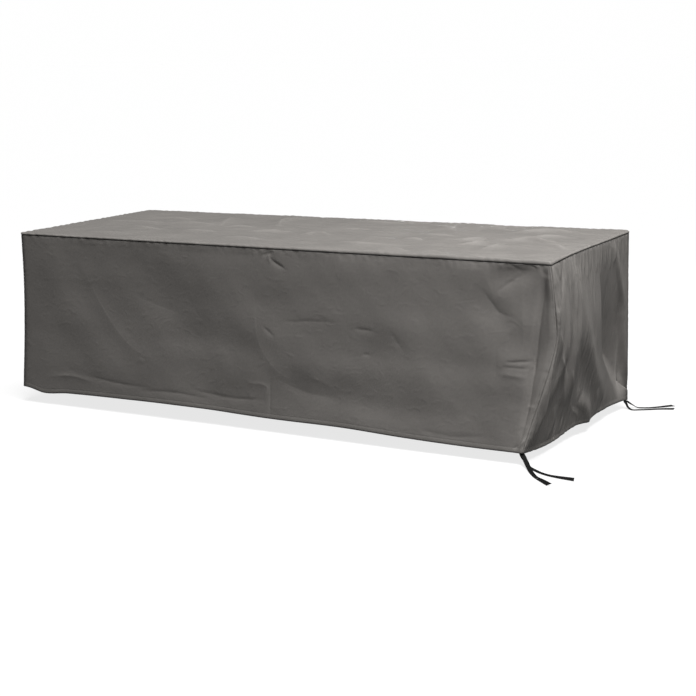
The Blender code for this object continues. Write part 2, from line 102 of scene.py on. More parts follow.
# how far the hem stands out from the straight line between its two corners: share of that line, out
FRONT_BOW = ((0.0, 0.0), (0.5, -0.004), (0.8, 0.003), (1.0, 0.0))
RIGHT_BOW = ((0.0, 0.0), (0.15, 0.002), (0.35, 0.000), (0.55, 0.008), (0.70, 0.002), (1.0, 0.0))
BACK_BOW = ((0.0, 0.0), (0.25, 0.012), (0.5, 0.002), (0.75, 0.014), (1.0, 0.0))
LEFT_BOW = ((0.0, 0.0), (0.5, 0.010), (1.0, 0.0))
BOW_GROWTH = 1.4  # a bow grows with this power of the depth

# Each corner section: depth, then as (x, y) shifts from the plan corner, where the side before the
# corner stops being flat, where the vertical seam runs, and where the next side turns flat.
FRONT_RIGHT = (
    (0.000, (-0.018, 0.000), (-0.003, 0.003), (0.000, 0.018)),
    (0.085, (-0.024, 0.000), (0.008, 0.004), (0.008, 0.034)),
    (0.165, (-0.037, 0.000), (0.013, 0.010), (0.014, 0.050)),
    (0.290, (-0.039, -0.004), (0.015, 0.020), (0.014, 0.080)),
    (0.388, (-0.055, -0.010), (-0.003, 0.004), (0.000, 0.070)),
    (0.464, (-0.068, -0.020), (-0.021, -0.010), (-0.014, 0.050)),
    (0.589, (-0.084, -0.036), (-0.056, -0.030), (-0.046, 0.010)),
    (0.702, (-0.100, -0.057), (-0.083, -0.0555), (-0.079, -0.036)),
)
BACK_RIGHT = (
    (0.000, (0.000, -0.018), (-0.007, -0.007), (-0.018, 0.000)),
    (0.150, (0.002, -0.024), (-0.005, -0.008), (-0.026, -0.001)),
    (0.350, (0.006, -0.032), (0.000, -0.012), (-0.024, -0.004)),
    (0.550, (0.010, -0.040), (0.006, -0.021), (-0.017, -0.014)),
    (0.710, (0.012, -0.050), (0.013, -0.033), (-0.005, -0.030)),
)
BACK_LEFT = (
    (0.000, (0.018, 0.000), (0.006, -0.006), (0.000, -0.018)),
    (0.350, (0.022, 0.006), (0.003, -0.002), (-0.005, -0.022)),
    (0.694, (0.012, 0.014), (-0.008, 0.008), (-0.012, -0.014)),
)
FRONT_LEFT = (
    (0.000, (0.000, 0.018), (0.005, 0.005), (0.018, 0.000)),
    (0.200, (-0.002, 0.022), (0.003, 0.006), (0.022, 0.000)),
    (0.400, (-0.014, 0.024), (-0.008, 0.006), (0.016, -0.002)),
    (0.679, (-0.036, 0.022), (-0.031, 0.003), (-0.008, -0.005)),
)
CORNERS = (
    (FRONT_LEFT, -1, -1),
    (FRONT_RIGHT, 1, -1),
    (BACK_RIGHT, 1, 1),
    (BACK_LEFT, -1, 1),
)

# ---------------------------------------------------------------- main folds
# Each row: the fold's line on the panel as (x or y, depth) points, its half width, its height, all in
# millimetres, and its lean. A height below zero is a trough. With a lean above zero, the side that lies
# below a line drawn towards + is the wider one, and the other side is the steeper one. A few of these
# folds, most of them at the right end, differ a little from those of the solids.
MILLIMETRE = 0.001
FRONT_FOLDS = (
    (((-1080, 60), (-950, 300), (-700, 600)), 90, 4, 0),
    (((-620, 50), (-400, 300), (-280, 620)), 100, -4, 0),
    (((-300, 100), (50, 380), (400, 550)), 90, 3.5, 0),
    (((100, 520), (350, 560), (600, 620)), 60, -4, 0),
    (((300, 80), (620, 300), (840, 620)), 90, 4, 0),
    (((880, 140), (970, 190), (1060, 260)), 50, -5, 0),
    (((960, 100), (1060, 60), (1160, 30)), 40, -5, 0),
    (((1000, 380), (1070, 380), (1120, 390)), 45, 4, 0),
    (((1180, 50), (1172, 120), (1163, 200), (1152, 300), (1141, 400), (1130, 510), (1112, 620)),
     24, -13, -0.4),
)
RIGHT_FOLDS = (
    (((-380, 60), (-350, 180), (-350, 340), (-400, 460), (-470, 580)), 36, 10, 0),
    (((-300, 100), (-280, 300), (-310, 550)), 30, -9, 0),
    (((-240, 80), (-230, 370), (-240, 600)), 32, 10, 0),
    (((-270, 50), (-190, 200), (-130, 320), (-60, 420), (50, 530), (190, 650)), 50, 13, 0),
    (((220, 20), (310, 130), (350, 220), (390, 330)), 34, 9, 0),
    (((-100, 580), (-20, 650), (30, 740)), 36, 17, 0),
)
BACK_FOLDS = (
    (((-950, 50), (-880, 350), (-800, 660)), 90, 6, 0),
    (((-400, 40), (-360, 340), (-420, 660)), 80, -6, 0),
    (((120, 50), (200, 360), (160, 660)), 100, 7, 0),
    (((660, 40), (600, 320), (700, 660)), 90, -6, 0),
)
LEFT_FOLDS = (
    (((-240, 40), (-200, 360), (-260, 660)), 50, 8, 0),
    (((60, 50), (20, 340), (80, 660)), 55, -7, 0),
    (((300, 40), (260, 380), (320, 660)), 50, 7, 0),
)
TOP_FOLDS = (
    (((-950, 300), (-350, 240), (300, 270)), 55, 3, 0),
    (((-700, 50), (50, 20), (700, 80)), 60, 3, 0),
    (((100, -200), (550, -160), (1050, -220)), 55, 3.5, 0),
    (((450, 200), (800, 170), (1120, 220)), 55, 3, 0),
    (((-1050, -240), (-500, -280), (50, -250)), 55, 2.5, 0),
)
FOLD_CALM = 0.030  # the main folds fade out over this distance from a seam
TOP_CALM = 0.010  # and start this far below the top edge
FOLD_STEPS = 8
FOLD_TAPER = 0.6
FOLD_END = 0.02
FOLD_REACH = 3.2  # half widths past which a fold adds nothing
CREASE_REACH = 5.0
CREST_ROUNDING = 0.35  # how far a sharp crest is rounded, in half widths

# ---------------------------------------------------------------- creases, in rows like those of the folds
FRONT_CREASES = (
    # the star of creases under the middle of the top seam
    (((10, 40), (35, 31), (62, 22)), 3.7, -2.4, 0.3),
    (((45, 50), (75, 68), (112, 86)), 5, -3.3, 0.4),
    (((38, 34), (43, 66)), 3.7, 2.1, 0),
    # storage creases
    (((41, 520), (38, 690)), 3.7, -1.4, 0.2),
    (((-60, 555), (-9, 552), (28, 565), (17, 612)), 5.6, 1, 0.2),
    (((12, 322), (60, 358)), 6.2, -1.7, 0.3),
    (((100, 298), (220, 287), (335, 282)), 7.4, -1.2, 0.3),
    (((420, 299), (500, 302)), 5, -1.9, 0.4),
    (((455, 398), (490, 396)), 4.3, -1.4, 0.2),
    (((575, 306), (605, 345), (630, 375)), 11.4, -1.4, 0),
    (((-30, 230), (-10, 380), (60, 480), (130, 520)), 23, 1, 0.2),
    (((205, 490), (330, 534)), 20.7, 1.4, 0.2),
    (((70, 530), (210, 571), (350, 582)), 18.5, -1.7, 0),
    # the left part
    (((-880, 120), (-766, 309), (-650, 440), (-480, 530)), 32.1, 1.9, 0.2),
    (((-600, 245), (-500, 275), (-400, 300)), 35.6, -1.9, 0),
    (((-880, 600), (-700, 618), (-554, 624)), 7.4, -1.7, 0.3),
    (((-600, 640), (-430, 630), (-258, 640)), 7.4, -1.7, 0.3),
    (((-330, 610), (-150, 625), (10, 618)), 7.4, -1.7, 0.3),
    (((-1080, 620), (-960, 606), (-840, 622)), 8.7, 1.7, 0.2),
    # near the right corner
    (((1040, 377), (1100, 371), (1148, 366)), 4.3, -2.6, 0.35),
    (((1143, 340), (1144, 375), (1146, 414)), 4.3, -2.2, 0.2),
    (((1181, 50), (1164, 190), (1153, 290), (1142, 400), (1131, 510), (1113, 640)), 6, -5, 0.3),
    (((1020, 399), (1080, 396), (1130, 397)), 6.2, -1.7, 0.2),
    (((1020, 424), (1070, 425), (1118, 428)), 7.4, 1.7, 0),
    (((1112, 14), (1130, 23), (1150, 31)), 3.7, -1.9, 0.3),
    (((1048, 21), (1066, 31), (1084, 38)), 3.7, -1.7, 0.3),
    (((995, 124), (1043, 89), (1095, 54)), 7.4, -2, 0.3),
    (((940, 122), (977, 167), (1005, 198), (1050, 212)), 8.7, -1.5, 0.3),
    (((1100, 690), (1116, 662), (1134, 634)), 4.3, 2.4, 0.3),
    (((1080, 690), (1100, 676)), 4.3, -1.7, 0),
    (((1120, 535), (1155, 532)), 3.7, 1.5, 0.2),
    (((700, 660), (830, 672), (960, 660)), 7.4, -1.3, 0.3),
)
RIGHT_CREASES = (
    (((300, 50), (350, 130), (385, 230)), 10.5, -5.3, 0),
    (((205, 160), (225, 270), (262, 400)), 12, -4.2, 0),
    # the flap beside the front right seam, its right edge, and the ridge that it runs out into
    (((-476, 15), (-452, 65), (-440, 105), (-446, 150), (-452, 240)), 16, 8, 0.3),
    (((-424, 60), (-400, 105), (-412, 165), (-440, 225)), 6, -3.4, -0.3),
    (((-474, 82), (-468, 120), (-459, 190)), 7, -7, 0),
    (((-462, 200), (-466, 300), (-474, 400), (-466, 500), (-462, 600), (-470, 680)), 12, 7, 0.2),
    (((-436, 190), (-440, 300), (-446, 400), (-436, 500), (-430, 620)), 7.5, -5.3, 0),
    (((-458, 430), (-470, 560), (-500, 690)), 20, 9, 0),
    # thin ridges and valleys right of the flap
    (((-362, 20), (-375, 70), (-390, 125)), 7.5, -5.3, 0.2),
    (((-330, 26), (-312, 100), (-302, 190)), 8.3, 5.3, 0),
    (((-275, 30), (-266, 120), (-262, 230)), 8.3, 5.3, 0),
    (((-452, 250), (-412, 318), (-385, 378), (-320, 455), (-290, 540)), 9, 6.3, 0.2),
    (((-364, 300), (-320, 430), (-255, 570)), 9, 5.8, 0.2),
    (((-352, 230), (-305, 360), (-262, 480)), 9, -5.8, 0),
    (((-252, 440), (-215, 520), (-182, 590)), 9, 6.3, 0),
    (((-200, 340), (-150, 440), (-120, 560)), 13.5, -6.3, 0),
    # the tongue fold at the hem
    (((-180, 590), (-132, 628), (-90, 652), (-70, 690)), 9, 2, 0.3),
    (((-150, 600), (-96, 630), (-50, 665), (-36, 700)), 9, -1.2, 0),
    (((-200, 600), (-190, 650), (-200, 700)), 7.5, -3, 0),
    (((-225, 630), (-228, 700)), 6.7, 4.7, 0),
    (((-350, 560), (-330, 630), (-345, 700)), 12, 6.3, 0),
    (((-290, 560), (-280, 640), (-290, 705)), 10.5, -6.3, 0),
    (((60, 580), (90, 640), (85, 700)), 13.5, 5.3, 0),
    (((160, 640), (170, 700)), 10.5, -4.2, 0),
    (((400, 400), (410, 560), (395, 690)), 13.5, 4.7, 0),
)

# the great fold of the right end, as (y, depth) lines: the crest of its ramp, the edge that drops into the
# hollow, and the hollow's right wall
END_RAMP = ((-270, 60), (-250, 128), (-205, 204), (-140, 285), (-75, 375), (-10, 470), (80, 560), (190, 660))
END_EDGE = ((45, 0), (56, 97), (70, 210), (72, 280), (100, 370), (205, 453), (310, 530), (400, 620))
END_WALL = ((215, 0), (290, 134), (360, 267), (385, 355), (420, 500), (450, 640))
RAMP_HEIGHT = 0.015
RAMP_LOWER_WIDTH = 0.20
RAMP_UPPER_WIDTHS = ((0.10, 0.30, 0.50), (0.24, 0.19, 0.15))  # depths, widths there
RAMP_GROWTH = ((0.05, 0.38, 0.55, 0.70), (0.0, 1.0, 0.9, 0.3))  # depths, shares of its height
# where the lower part lies back: how far, the depth where it starts, the depth that it takes, its share by y
RECESSES = (
    (0.007, 0.28, 0.27, ((-0.30, 0.00, 0.28, 0.44), (0.0, 1.0, 1.0, 0.0))),
    (0.007, 0.40, 0.20, ((0.14, 0.26, 0.40, 0.47), (0.0, 1.0, 1.0, 0.0))),
)
EDGE_SHARES = (0.0, 0.45, 0.60, 1.0)  # places along the edge of the hollow
EDGE_WIDTHS = (0.016, 0.018, 0.09, 0.12)  # widths of its bend there
EDGE_SET_IN = (0.0, 0.0, 0.06, 0.08)  # how far the bend is set in there
HOLLOW_SUNK = 0.0575
HOLLOW_FULL = 0.52  # the depth at which the hollow is fully sunk
WALL_WIDTH = 0.020
WALL_SLOPE_SHARE = 0.4  # how much shallower the hollow is beside its wall
WALL_SLOPE_WIDTH = 0.16

BACK_CREASES = (
    (((-1060, 60), (-990, 220), (-960, 420)), 20, 2.4, 0.2),
    (((-620, 300), (-520, 360), (-400, 380)), 14, -1.8, 0.2),
    (((-80, 120), (0, 200), (40, 330)), 18, 2.2, 0.2),
    (((340, 480), (460, 540), (600, 560)), 16, -2, 0.2),
    (((860, 100), (940, 260), (960, 480)), 20, 2.6, 0.2),
    (((0, 540), (0, 680)), 6, -1.2, 0.2),
)
LEFT_CREASES = (
    (((-360, 40), (-330, 200), (-345, 420)), 14, 3, 0.2),
    (((-100, 60), (-80, 260), (-120, 500)), 12, -2.6, 0.2),
    (((160, 80), (180, 300), (150, 560)), 14, 3, 0.2),
    (((390, 120), (370, 340), (390, 600)), 12, -2.4, 0.2),
)
# on the top, as (x, y) points; the side that is nearer to the front is the steeper one
TOP_CREASES = (
    (((-780, 12), (-650, 20), (-520, 6)), 20, 12.6, 0.4),
    (((-1100, -10), (-942, 8), (-780, 18)), 27, 10.1, 0.4),
    (((-470, -34), (-390, -12), (-300, 4)), 18, 10.1, 0.4),
    (((-560, -190), (-465, -180), (-390, -170)), 16, 8.4, 0.4),
    (((-290, -112), (-215, -94), (-140, -80)), 16, 9.2, 0.4),
    (((-10, -120), (42, -86), (130, -128)), 16, 10.9, 0.4),
    (((30, 18), (110, 66), (200, 104)), 18, 9.2, 0.3),
    (((-230, 60), (-300, 240), (-270, 420)), 31, 15.1, 0.3),
    (((-480, -10), (-540, 150), (-600, 300)), 37, 14.6, 0.3),
    (((-860, -130), (-760, -180), (-650, -206)), 24, 10.1, 0.3),
    (((300, -164), (360, -156), (420, -158)), 16, 10.1, 0.4),
    (((450, -138), (490, -130), (540, -130)), 15, 8.4, 0.4),
    (((480, 18), (545, 34), (610, 42)), 16, 9.2, 0.4),
    (((370, 336), (445, 270), (525, 206)), 22, 10.9, 0.2),
    (((610, -120), (700, -66), (790, -18)), 16, 12.6, 0.4),
    (((730, -226), (780, -166), (835, -104)), 16, 11.7, 0.4),
    (((825, -60), (951, -14), (1120, -94)), 20, 16.9, 0.5),
    (((790, 214), (913, 286), (1110, 262)), 22, 16.9, 0.5),
    (((910, 84), (990, 124), (1080, 142)), 18, 12.6, 0.4),
    (((1020, -110), (1100, -150), (1165, -204)), 16, 12.6, 0.4),
    (((850, -306), (885, -240), (915, -170)), 16, 10.1, 0.3),
    (((860, -420), (1020, -436), (1180, -452)), 20, -10.9, 0),
    (((500, -446), (560, -430), (620, -444)), 15, 10.9, 0),
    (((660, -440), (715, -424), (770, -442)), 15, 10.9, 0),
    (((200, 462), (262, 430), (330, 462)), 28.1, -13.3, 0),
    (((600, 470), (690, 440), (780, 470)), 37.4, -15.7, 0),
    (((-300, -340), (-160, -330), (-20, -345)), 20, 8.4, 0.3),
    (((200, -300), (340, -315), (480, -300)), 20, 9.2, 0.3),
    (((-1000, -360), (-860, -370), (-700, -352)), 22, 8.4, 0.3),
    (((-980, 160), (-860, 190), (-740, 170)), 22, 8.4, 0.3),
    (((0, 360), (120, 340), (260, 365)), 20, 9.2, 0.3),
    (((560, 300), (650, 330), (740, 310)), 20, 10.1, 0.3),
)
CREASE_CALM = 0.008  # creases fade out over this distance from a seam
TOP_CREASE_CALM = 0.03
RUBBED_WIDTH = 3.5  # half width of the rubbed line along a crease, in millimetres
RUBBED_TOP_WIDTH = 6.0

# short gathers under the right end's top seam, in millimetres: y at the seam, y at their lower end, length,
# half width
RIGHT_GATHERS = (
    (-440, -446, 50, 6), (-400, -404, 40, 5.5), (-345, -350, 60, 6),
    (-290, -302, 70, 6), (-263, -276, 60, 5), (-230, -246, 62, 5.5),
    (-203, -220, 60, 5), (-162, -187, 74, 6), (-123, -145, 56, 5.5),
    (-87, -101, 70, 6), (-50, -56, 52, 5.5), (-26, -38, 92, 6),
    (24, 16, 64, 6), (60, 58, 50, 5.5), (91, 90, 90, 6),
    (132, 150, 66, 6), (165, 172, 50, 5.5), (202, 212, 76, 6),
    (263, 253, 60, 6), (315, 318, 58, 5.5), (372, 384, 70, 6),
    (420, 424, 50, 5.5),
)
GATHER_DEPTHS = ((12, 0.0), (20, 0.7), (25, 1.4))  # of its three points: millimetres, share of its length
GATHER_HEIGHT = 4.5
GATHER_CALM = 0.006

# ---------------------------------------------------------------- small relief of the cloth
# rows of relief: height, size of its waves, seed, stretch, number of waves, slope. The top's heights are
# shares of the ripple that its settings give.
FRONT_RELIEF = ((0.0012, 0.24, 3, 1.2, 9, 0.0), (0.0003, 0.085, 4, 1.3, 9, 0.0))
RIGHT_RELIEF = ((0.0010, 0.034, 14, 7.0, 14, 0.1), (0.0008, 0.017, 16, 10.0, 14, 0.05))
BACK_RELIEF = ((0.0012, 0.24, 23, 1.2, 9, 0.0), (0.0004, 0.09, 24, 1.0, 9, 0.0))
LEFT_RELIEF = ((0.0007, 0.060, 34, 2.5, 9, 0.0),)
TOP_RELIEF = ((1.0, 0.075, 43, 3.0, 14, 0.0), (0.3, 0.026, 44, 3.0, 14, 0.0))
WAVE_SPREAD = (0.7, 1.6)  # the waves' sizes, as shares of the given one
# how strong it is: places along the panel, shares there
EVEN = ((0.0,), (1.0,))
FRONT_BUSY = ((-1.2, -0.3, 0.9, 1.2), (0.5, 0.8, 1.0, 1.3))
RIGHT_BUSY = ((-0.48, -0.40, 0.00, 0.10, 0.48), (1.0, 1.0, 0.9, 0.35, 0.4))
TOP_BUSY = ((-1.2, 0.2, 1.2), (0.7, 1.0, 1.4))
TOP_RELIEF_CALM = 0.04
PUCKER_WAVE = 0.024
PUCKER_WIDTH = 0.020
PUCKER_CALM = 0.006
SIDE_PUCKER = 0.4  # the puckers beside a corner seam, as a share of those under the top seam
TOP_PUCKER = 1.5
TOP_PUCKER_SEED = 45
BELLY = 0.017  # how far the right part of the front swells at half its depth
BELLY_SPREAD = ((-0.6, 0.4, 1.1), (0.0, 0.8, 1.0))
BELLY_CALM = 0.12

# swellings and stitch lines: height, distance from the seam or the hem's edge, half width
STITCH_UP = 0.0180  # the hem's stitch line, above the edge
SIDE_SWELLINGS = ((0.0008, 0.0040, 0.0022), (-0.0006, 0.0095, 0.0028))
HEM_SWELLINGS = ((-0.0003, STITCH_UP, 0.0016), (0.0003, STITCH_UP / 2, 0.0060))
TOP_SWELLINGS = ((0.0016, 0.0060, 0.0040),)

# half widths of the painted shade along the seams and the hem, the shadow down in them coloured near black,
# and of the rubbed cloth beside them
TOP_SEAM_SHADE = 0.0036
TOP_PANEL_SHADE = 0.0030
HEM_SHADE = 0.0042
HEM_SHADE_TONE = 0.9
PLAIN_SEAM_SHADE = ((0.8, 0.006), (0.8, 0.006))
RUBBED_SEAM = 0.012

# ---------------------------------------------------------------- tie straps
STRAP_WIDTH = 0.018
STRAP_THICK = 0.0015
STRAP_REST = 0.0002
LIE_Z = TOP_Z - GROUND_DEPTH + STRAP_THICK / 2 + STRAP_REST
# Each point: x, y, z, heading of the strap's width in plan in degrees, lean of that width in degrees
TIE_FRONT_A = (
    (1.1095, -0.5235, -0.6830, 42, 0),
    (1.1110, -0.5262, -0.7000, 42, 0),
    (1.1240, -0.5340, -0.7160, 40, 0),
    (1.1390, -0.5520, -0.7290, 38, 0),
    (1.1580, -0.5780, LIE_Z + 0.0055, 38, -2),
    (1.1816, -0.6140, LIE_Z + 0.0010, 38, 0),
    (1.2107, -0.6540, LIE_Z, 42, 0),
    (1.2383, -0.6845, LIE_Z + 0.0020, 47, 12),
    (1.2644, -0.7105, LIE_Z + 0.0035, 52, 20),
    (1.2910, -0.7370, LIE_Z + 0.0045, 56, 24),
)
TIE_FRONT_B = (
    (1.1077, -0.5215, -0.6830, 42, 0),
    (1.1090, -0.5242, -0.7000, 42, 0),
    (1.1160, -0.5240, -0.7170, 45, 0),
    (1.1320, -0.5330, -0.7310, 50, 0),
    (1.1510, -0.5600, LIE_Z + 0.0040, 50, 3),
    (1.1810, -0.5780, LIE_Z, 52, 0),
    (1.2157, -0.6040, LIE_Z, 60, 0),
    (1.2530, -0.6215, LIE_Z + 0.0005, 70, 4),
    (1.2980, -0.6345, LIE_Z + 0.0025, 80, 14),
    (1.3500, -0.6430, LIE_Z + 0.0040, 88, 24),
)
TIE_BACK_A = (
    (1.2050, 0.4375, -0.6900, 80, 0),
    (1.2042, 0.4372, -0.7120, 80, 0),
    (1.2115, 0.4385, -0.7230, 80, 0),
    (1.2210, 0.4350, LIE_Z + 0.0070, 86, 0),
    (1.2400, 0.4270, LIE_Z, 98, 0),
    (1.2680, 0.4385, LIE_Z, 112, 0),
    (1.2970, 0.4560, LIE_Z, 120, 0),
    (1.3280, 0.4760, LIE_Z + 0.0005, 120, 2),
    (1.3610, 0.4930, LIE_Z + 0.0010, 114, 5),
    (1.3960, 0.5060, LIE_Z + 0.0015, 108, 8),
)
TIE_BACK_B = (
    (1.2076, 0.4376, -0.6900, 80, 0),
    (1.2075, 0.4376, -0.7100, 80, 0),
    (1.2175, 0.4450, -0.7168, 88, 0),
    (1.2320, 0.4580, -0.7295, 108, 0),
    (1.2500, 0.4690, LIE_Z + 0.0020, 122, 0),
    (1.2730, 0.4780, LIE_Z, 124, 0),
    (1.3000, 0.4930, LIE_Z, 126, 0),
    (1.3270, 0.5140, LIE_Z + 0.0005, 128, 2),
    (1.3520, 0.5380, LIE_Z + 0.0010, 130, 5),
    (1.3765, 0.5620, LIE_Z + 0.0015, 130, 8),
)
# node, route, how far one corner of the cut end reaches past the other
STRAPS = (
    ("tie_front_a", TIE_FRONT_A, 0.010),
    ("tie_front_b", TIE_FRONT_B, -0.007),
    ("tie_back_a", TIE_BACK_A, 0.008),
    ("tie_back_b", TIE_BACK_B, -0.008),
)
STRAP_STEP = 0.0025  # distance between two sections
STRAP_CURVE_STEPS = 24
STRAP_SHARP_ANGLE = 60
# half a section of the webbing, from its upper middle to its lower: share of the half width, of the half
# thickness; the woven edges are a little fuller than the middle
STRAP_SECTION = (
    (0.00, 0.80), (0.55, 0.80), (0.80, 0.88), (0.93, 1.00), (1.00, 0.55),
    (1.00, -0.55), (0.93, -1.00), (0.80, -0.88), (0.55, -0.80), (0.00, -0.80),
)
# ---------------------------------------------------------------- grid of the cloth
EDGE_MARKS = (0.0, 0.0004, 0.0009, 0.0016, 0.0025, 0.0040, 0.0065, 0.0100)  # distances from a seam
HEM_MARKS = (
    0.0, 0.0010, 0.0030, 0.0060, 0.0090, 0.0120, 0.0145, 0.0165, 0.0180, 0.0195, 0.0215, 0.0240,
    0.0280, 0.0330,
)
ALLOWANCE_MARKS = (0.0015, 0.0035, 0.0060, 0.0085)  # how deep the seam's lines lie under the cloth
HEM_TURN_ANGLES = (45, 90, 135, 180)
HEM_TURN_MARKS = (2, 5, 8, 11)  # the hem marks that the turned-up cloth ends on, from the edge up
HEM_RADIUS = 0.0011
SEAM_RADIUS = 0.0025
ZONE_SMOOTHING = 14
ZONE_REACH = 10  # columns on each side of a flat stretch's end that the smoothing reaches
SEAM_KEPT = 3  # columns beside a seam that stay as they are
ZONE_STEPS = 7  # places at which half a corner is measured
TOP_SPAN_COLUMNS = 260
TOP_SPAN_ROWS = 200
ROLL_ROWS = 9  # lines from the flat of the top to the last edge mark

# ---------------------------------------------------------------- finish and studio
WEAVE_HEIGHT = 0.00003
CLOTH_ROUGHNESS = (0.50, 0.66)
RIB_PITCH = 0.0014
RIB_HEIGHT = 0.00012
WEBBING_ROUGHNESS = (0.62, 0.80)
NOISE_SPAN = (0.3, 0.7)  # most of a noise lies between these values
WHITE = (1.0, 1.0, 1.0, 1.0)
FLOOR_SIZE = 400.0
SENSOR_WIDTH = 36.0
SUN_ANGLE = 25
SOFTBOX_SIZE = 0.9
# each softbox: its light's name, its settings' name, and the place on the cover that it is aimed at
SOFTBOXES = (
    ("softbox", "soft", (0.9, -0.1, 0.0)),
    ("front softbox", "front", (0.9, -0.4, -0.3)),
    ("back softbox", "back", (0.0, 0.5, -0.35)),
    ("right softbox", "right", (1.2, 0.0, -0.35)),
    ("left softbox", "left", (-1.2, 0.0, -0.35)),
)


def smooth_table(rows, at, column=1):
    """A table's value at each place, on one smooth curve through its rows."""
    places = np.array([row[0] for row in rows], float)
    values = np.array([row[column] for row in rows], float)
    slopes = np.gradient(values, places)
    at = np.clip(at, places[0], places[-1])
    before = np.clip(np.searchsorted(places, at, side="right") - 1, 0, len(places) - 2)
    step = places[before + 1] - places[before]
    share = (at - places[before]) / step
    bend = share * share * (3 - 2 * share)
    return (
        values[before] * (1 - bend) + values[before + 1] * bend
        + slopes[before] * step * share * (1 - share) ** 2
        - slopes[before + 1] * step * share**2 * (1 - share)
    )


def smooth_curve(points, steps):
    """Points on a Catmull-Rom curve through the given ones, with that many steps between two."""
    given = np.array(points, float)
    padded = np.vstack([2 * given[0] - given[1], given, 2 * given[-1] - given[-2]])
    out = []
    for before, start, end, after in zip(padded, padded[1:], padded[2:], padded[3:]):
        for share in np.arange(steps) / steps:
            out.append(
                0.5 * (2 * start + (end - before) * share
                       + (2 * before - 5 * start + 4 * end - after) * share**2
                       + (3 * start - before - 3 * end + after) * share**3)
            )
    return np.array(out + [given[-1]])


def smooth_step(value):
    """A smooth rise from 0 to 1 while the value goes from 0 to 1."""
    value = np.clip(value, 0, 1)
    return value * value * (3 - 2 * value)


def bells(distance, rows):
    """The sum of swellings over a distance; each row is a height, its place and its half width."""
    return sum(height * np.exp(-(((distance - place) / width) ** 2)) for height, place, width in rows)


def nearest_on(across, down, line):
    """How far each place is from a line, and its share along it.

    The distance is above zero on the right of a line drawn downward."""
    route = smooth_curve(line, FOLD_STEPS) * MILLIMETRE
    starts, steps = route[:-1], np.diff(route, axis=0)
    lengths = np.linalg.norm(steps, axis=1)
    passed = np.concatenate([[0.0], np.cumsum(lengths)])
    offset = np.stack([across, down], -1)[..., None, :] - starts
    share = np.clip((offset * steps).sum(-1) / lengths**2, 0.0, 1.0)
    apart = offset - share[..., None] * steps
    nearest = np.linalg.norm(apart, axis=-1).argmin(axis=-1)[..., None]
    apart = np.take_along_axis(apart, nearest[..., None], -2)[..., 0, :]
    share = np.take_along_axis(share, nearest, -1)[..., 0]
    nearest = nearest[..., 0]
    step = steps[nearest]
    side = np.sign(step[..., 1] * apart[..., 0] - step[..., 0] * apart[..., 1])
    along = (passed[nearest] + share * lengths[nearest]) / passed[-1]
    return side * np.linalg.norm(apart, axis=-1), along


def fold_height(across, down, folds, sharp=False):
    """The sum of the folds at each point of a panel, given as two arrays of places.

    A soft fold is a bell in section. A sharp one has a narrow crest, and sides that run out far."""
    total = np.zeros_like(across)
    for line, half_width, height, lean in folds:
        half_width = half_width * MILLIMETRE
        route = smooth_curve(line, FOLD_STEPS) * MILLIMETRE
        reach = (CREASE_REACH if sharp else FOLD_REACH) * half_width
        low, high = route.min(axis=0) - reach, route.max(axis=0) + reach
        near = (across > low[0]) & (across < high[0]) & (down > low[1]) & (down < high[1])
        if not near.any():
            continue
        distance, along = nearest_on(across[near], down[near], line)
        taper = np.sin(np.pi * np.clip(along, FOLD_END, 1 - FOLD_END)) ** FOLD_TAPER
        apart = abs(distance) / (half_width * (1 - lean * np.sign(distance)))
        power = np.sqrt(apart**2 + CREST_ROUNDING**2) - CREST_ROUNDING if sharp else apart**2
        total[near] += height * MILLIMETRE * taper * np.exp(-power)
    return total


def rubbed_lines(across, down, creases, half_width):
    """Where the cloth is rubbed pale along its creases, from 0 to 1."""
    lines = [(line, half_width, 1 / MILLIMETRE, 0.0) for line, *_ in creases]
    return np.clip(fold_height(across, down, lines), 0, 1)


def end_forms(across, depth):
    """The right end's great fold: a long ramp that faces up, the hollow beside it, and the hollow's wall."""
    from_ramp, _ = nearest_on(across, depth, END_RAMP)
    width = np.interp(depth, *RAMP_UPPER_WIDTHS)
    lower = np.exp(-((from_ramp / RAMP_LOWER_WIDTH) ** 2))
    shape = np.where(from_ramp < 0, lower, np.clip(1 - from_ramp / width, 0, 1))
    total = RAMP_HEIGHT * np.interp(depth, *RAMP_GROWTH) * shape
    for sunk, start, run, spread in RECESSES:
        total -= sunk * smooth_step((depth - start) / run) * np.interp(across, *spread)
    from_edge, along = nearest_on(across, depth, END_EDGE)
    set_in = np.interp(along, EDGE_SHARES, EDGE_SET_IN)
    inside = smooth_step((from_edge + set_in) / np.interp(along, EDGE_SHARES, EDGE_WIDTHS))
    from_wall, _ = nearest_on(across, depth, END_WALL)
    inside *= smooth_step(0.5 - from_wall / WALL_WIDTH)
    inside *= 1 - WALL_SLOPE_SHARE * smooth_step(1 + from_wall / WALL_SLOPE_WIDTH)
    return total - HOLLOW_SUNK * smooth_step(depth / HOLLOW_FULL) * inside


def uneven(across, down, wave, seed, stretch=1.0, waves=9):
    """A soft uneven field of about -1 to 1: waves that cross at drawn angles, stretched sideways."""
    draw = np.random.default_rng(seed)
    total = np.zeros_like(across)
    for _ in range(waves):
        angle = draw.uniform(0, np.pi)
        size = wave * draw.uniform(*WAVE_SPREAD)
        start = draw.uniform(0, 2 * np.pi)
        run = across / stretch * math.cos(angle) + down * math.sin(angle)
        total += np.sin(2 * np.pi * run / size + start)
    return total / math.sqrt(waves)


def small_relief(across, down, rows, busy, runs_down=False):
    """Soft uneven relief from its rows; its long waves run across, or down the panel."""
    total = np.zeros_like(across)
    for height, wave, seed, stretch, waves, slope in rows:
        along, beside = (down, across - down * slope) if runs_down else (across, down)
        total += uneven(along, beside, wave, seed, stretch, waves) * height
    return total * np.interp(across, *busy)


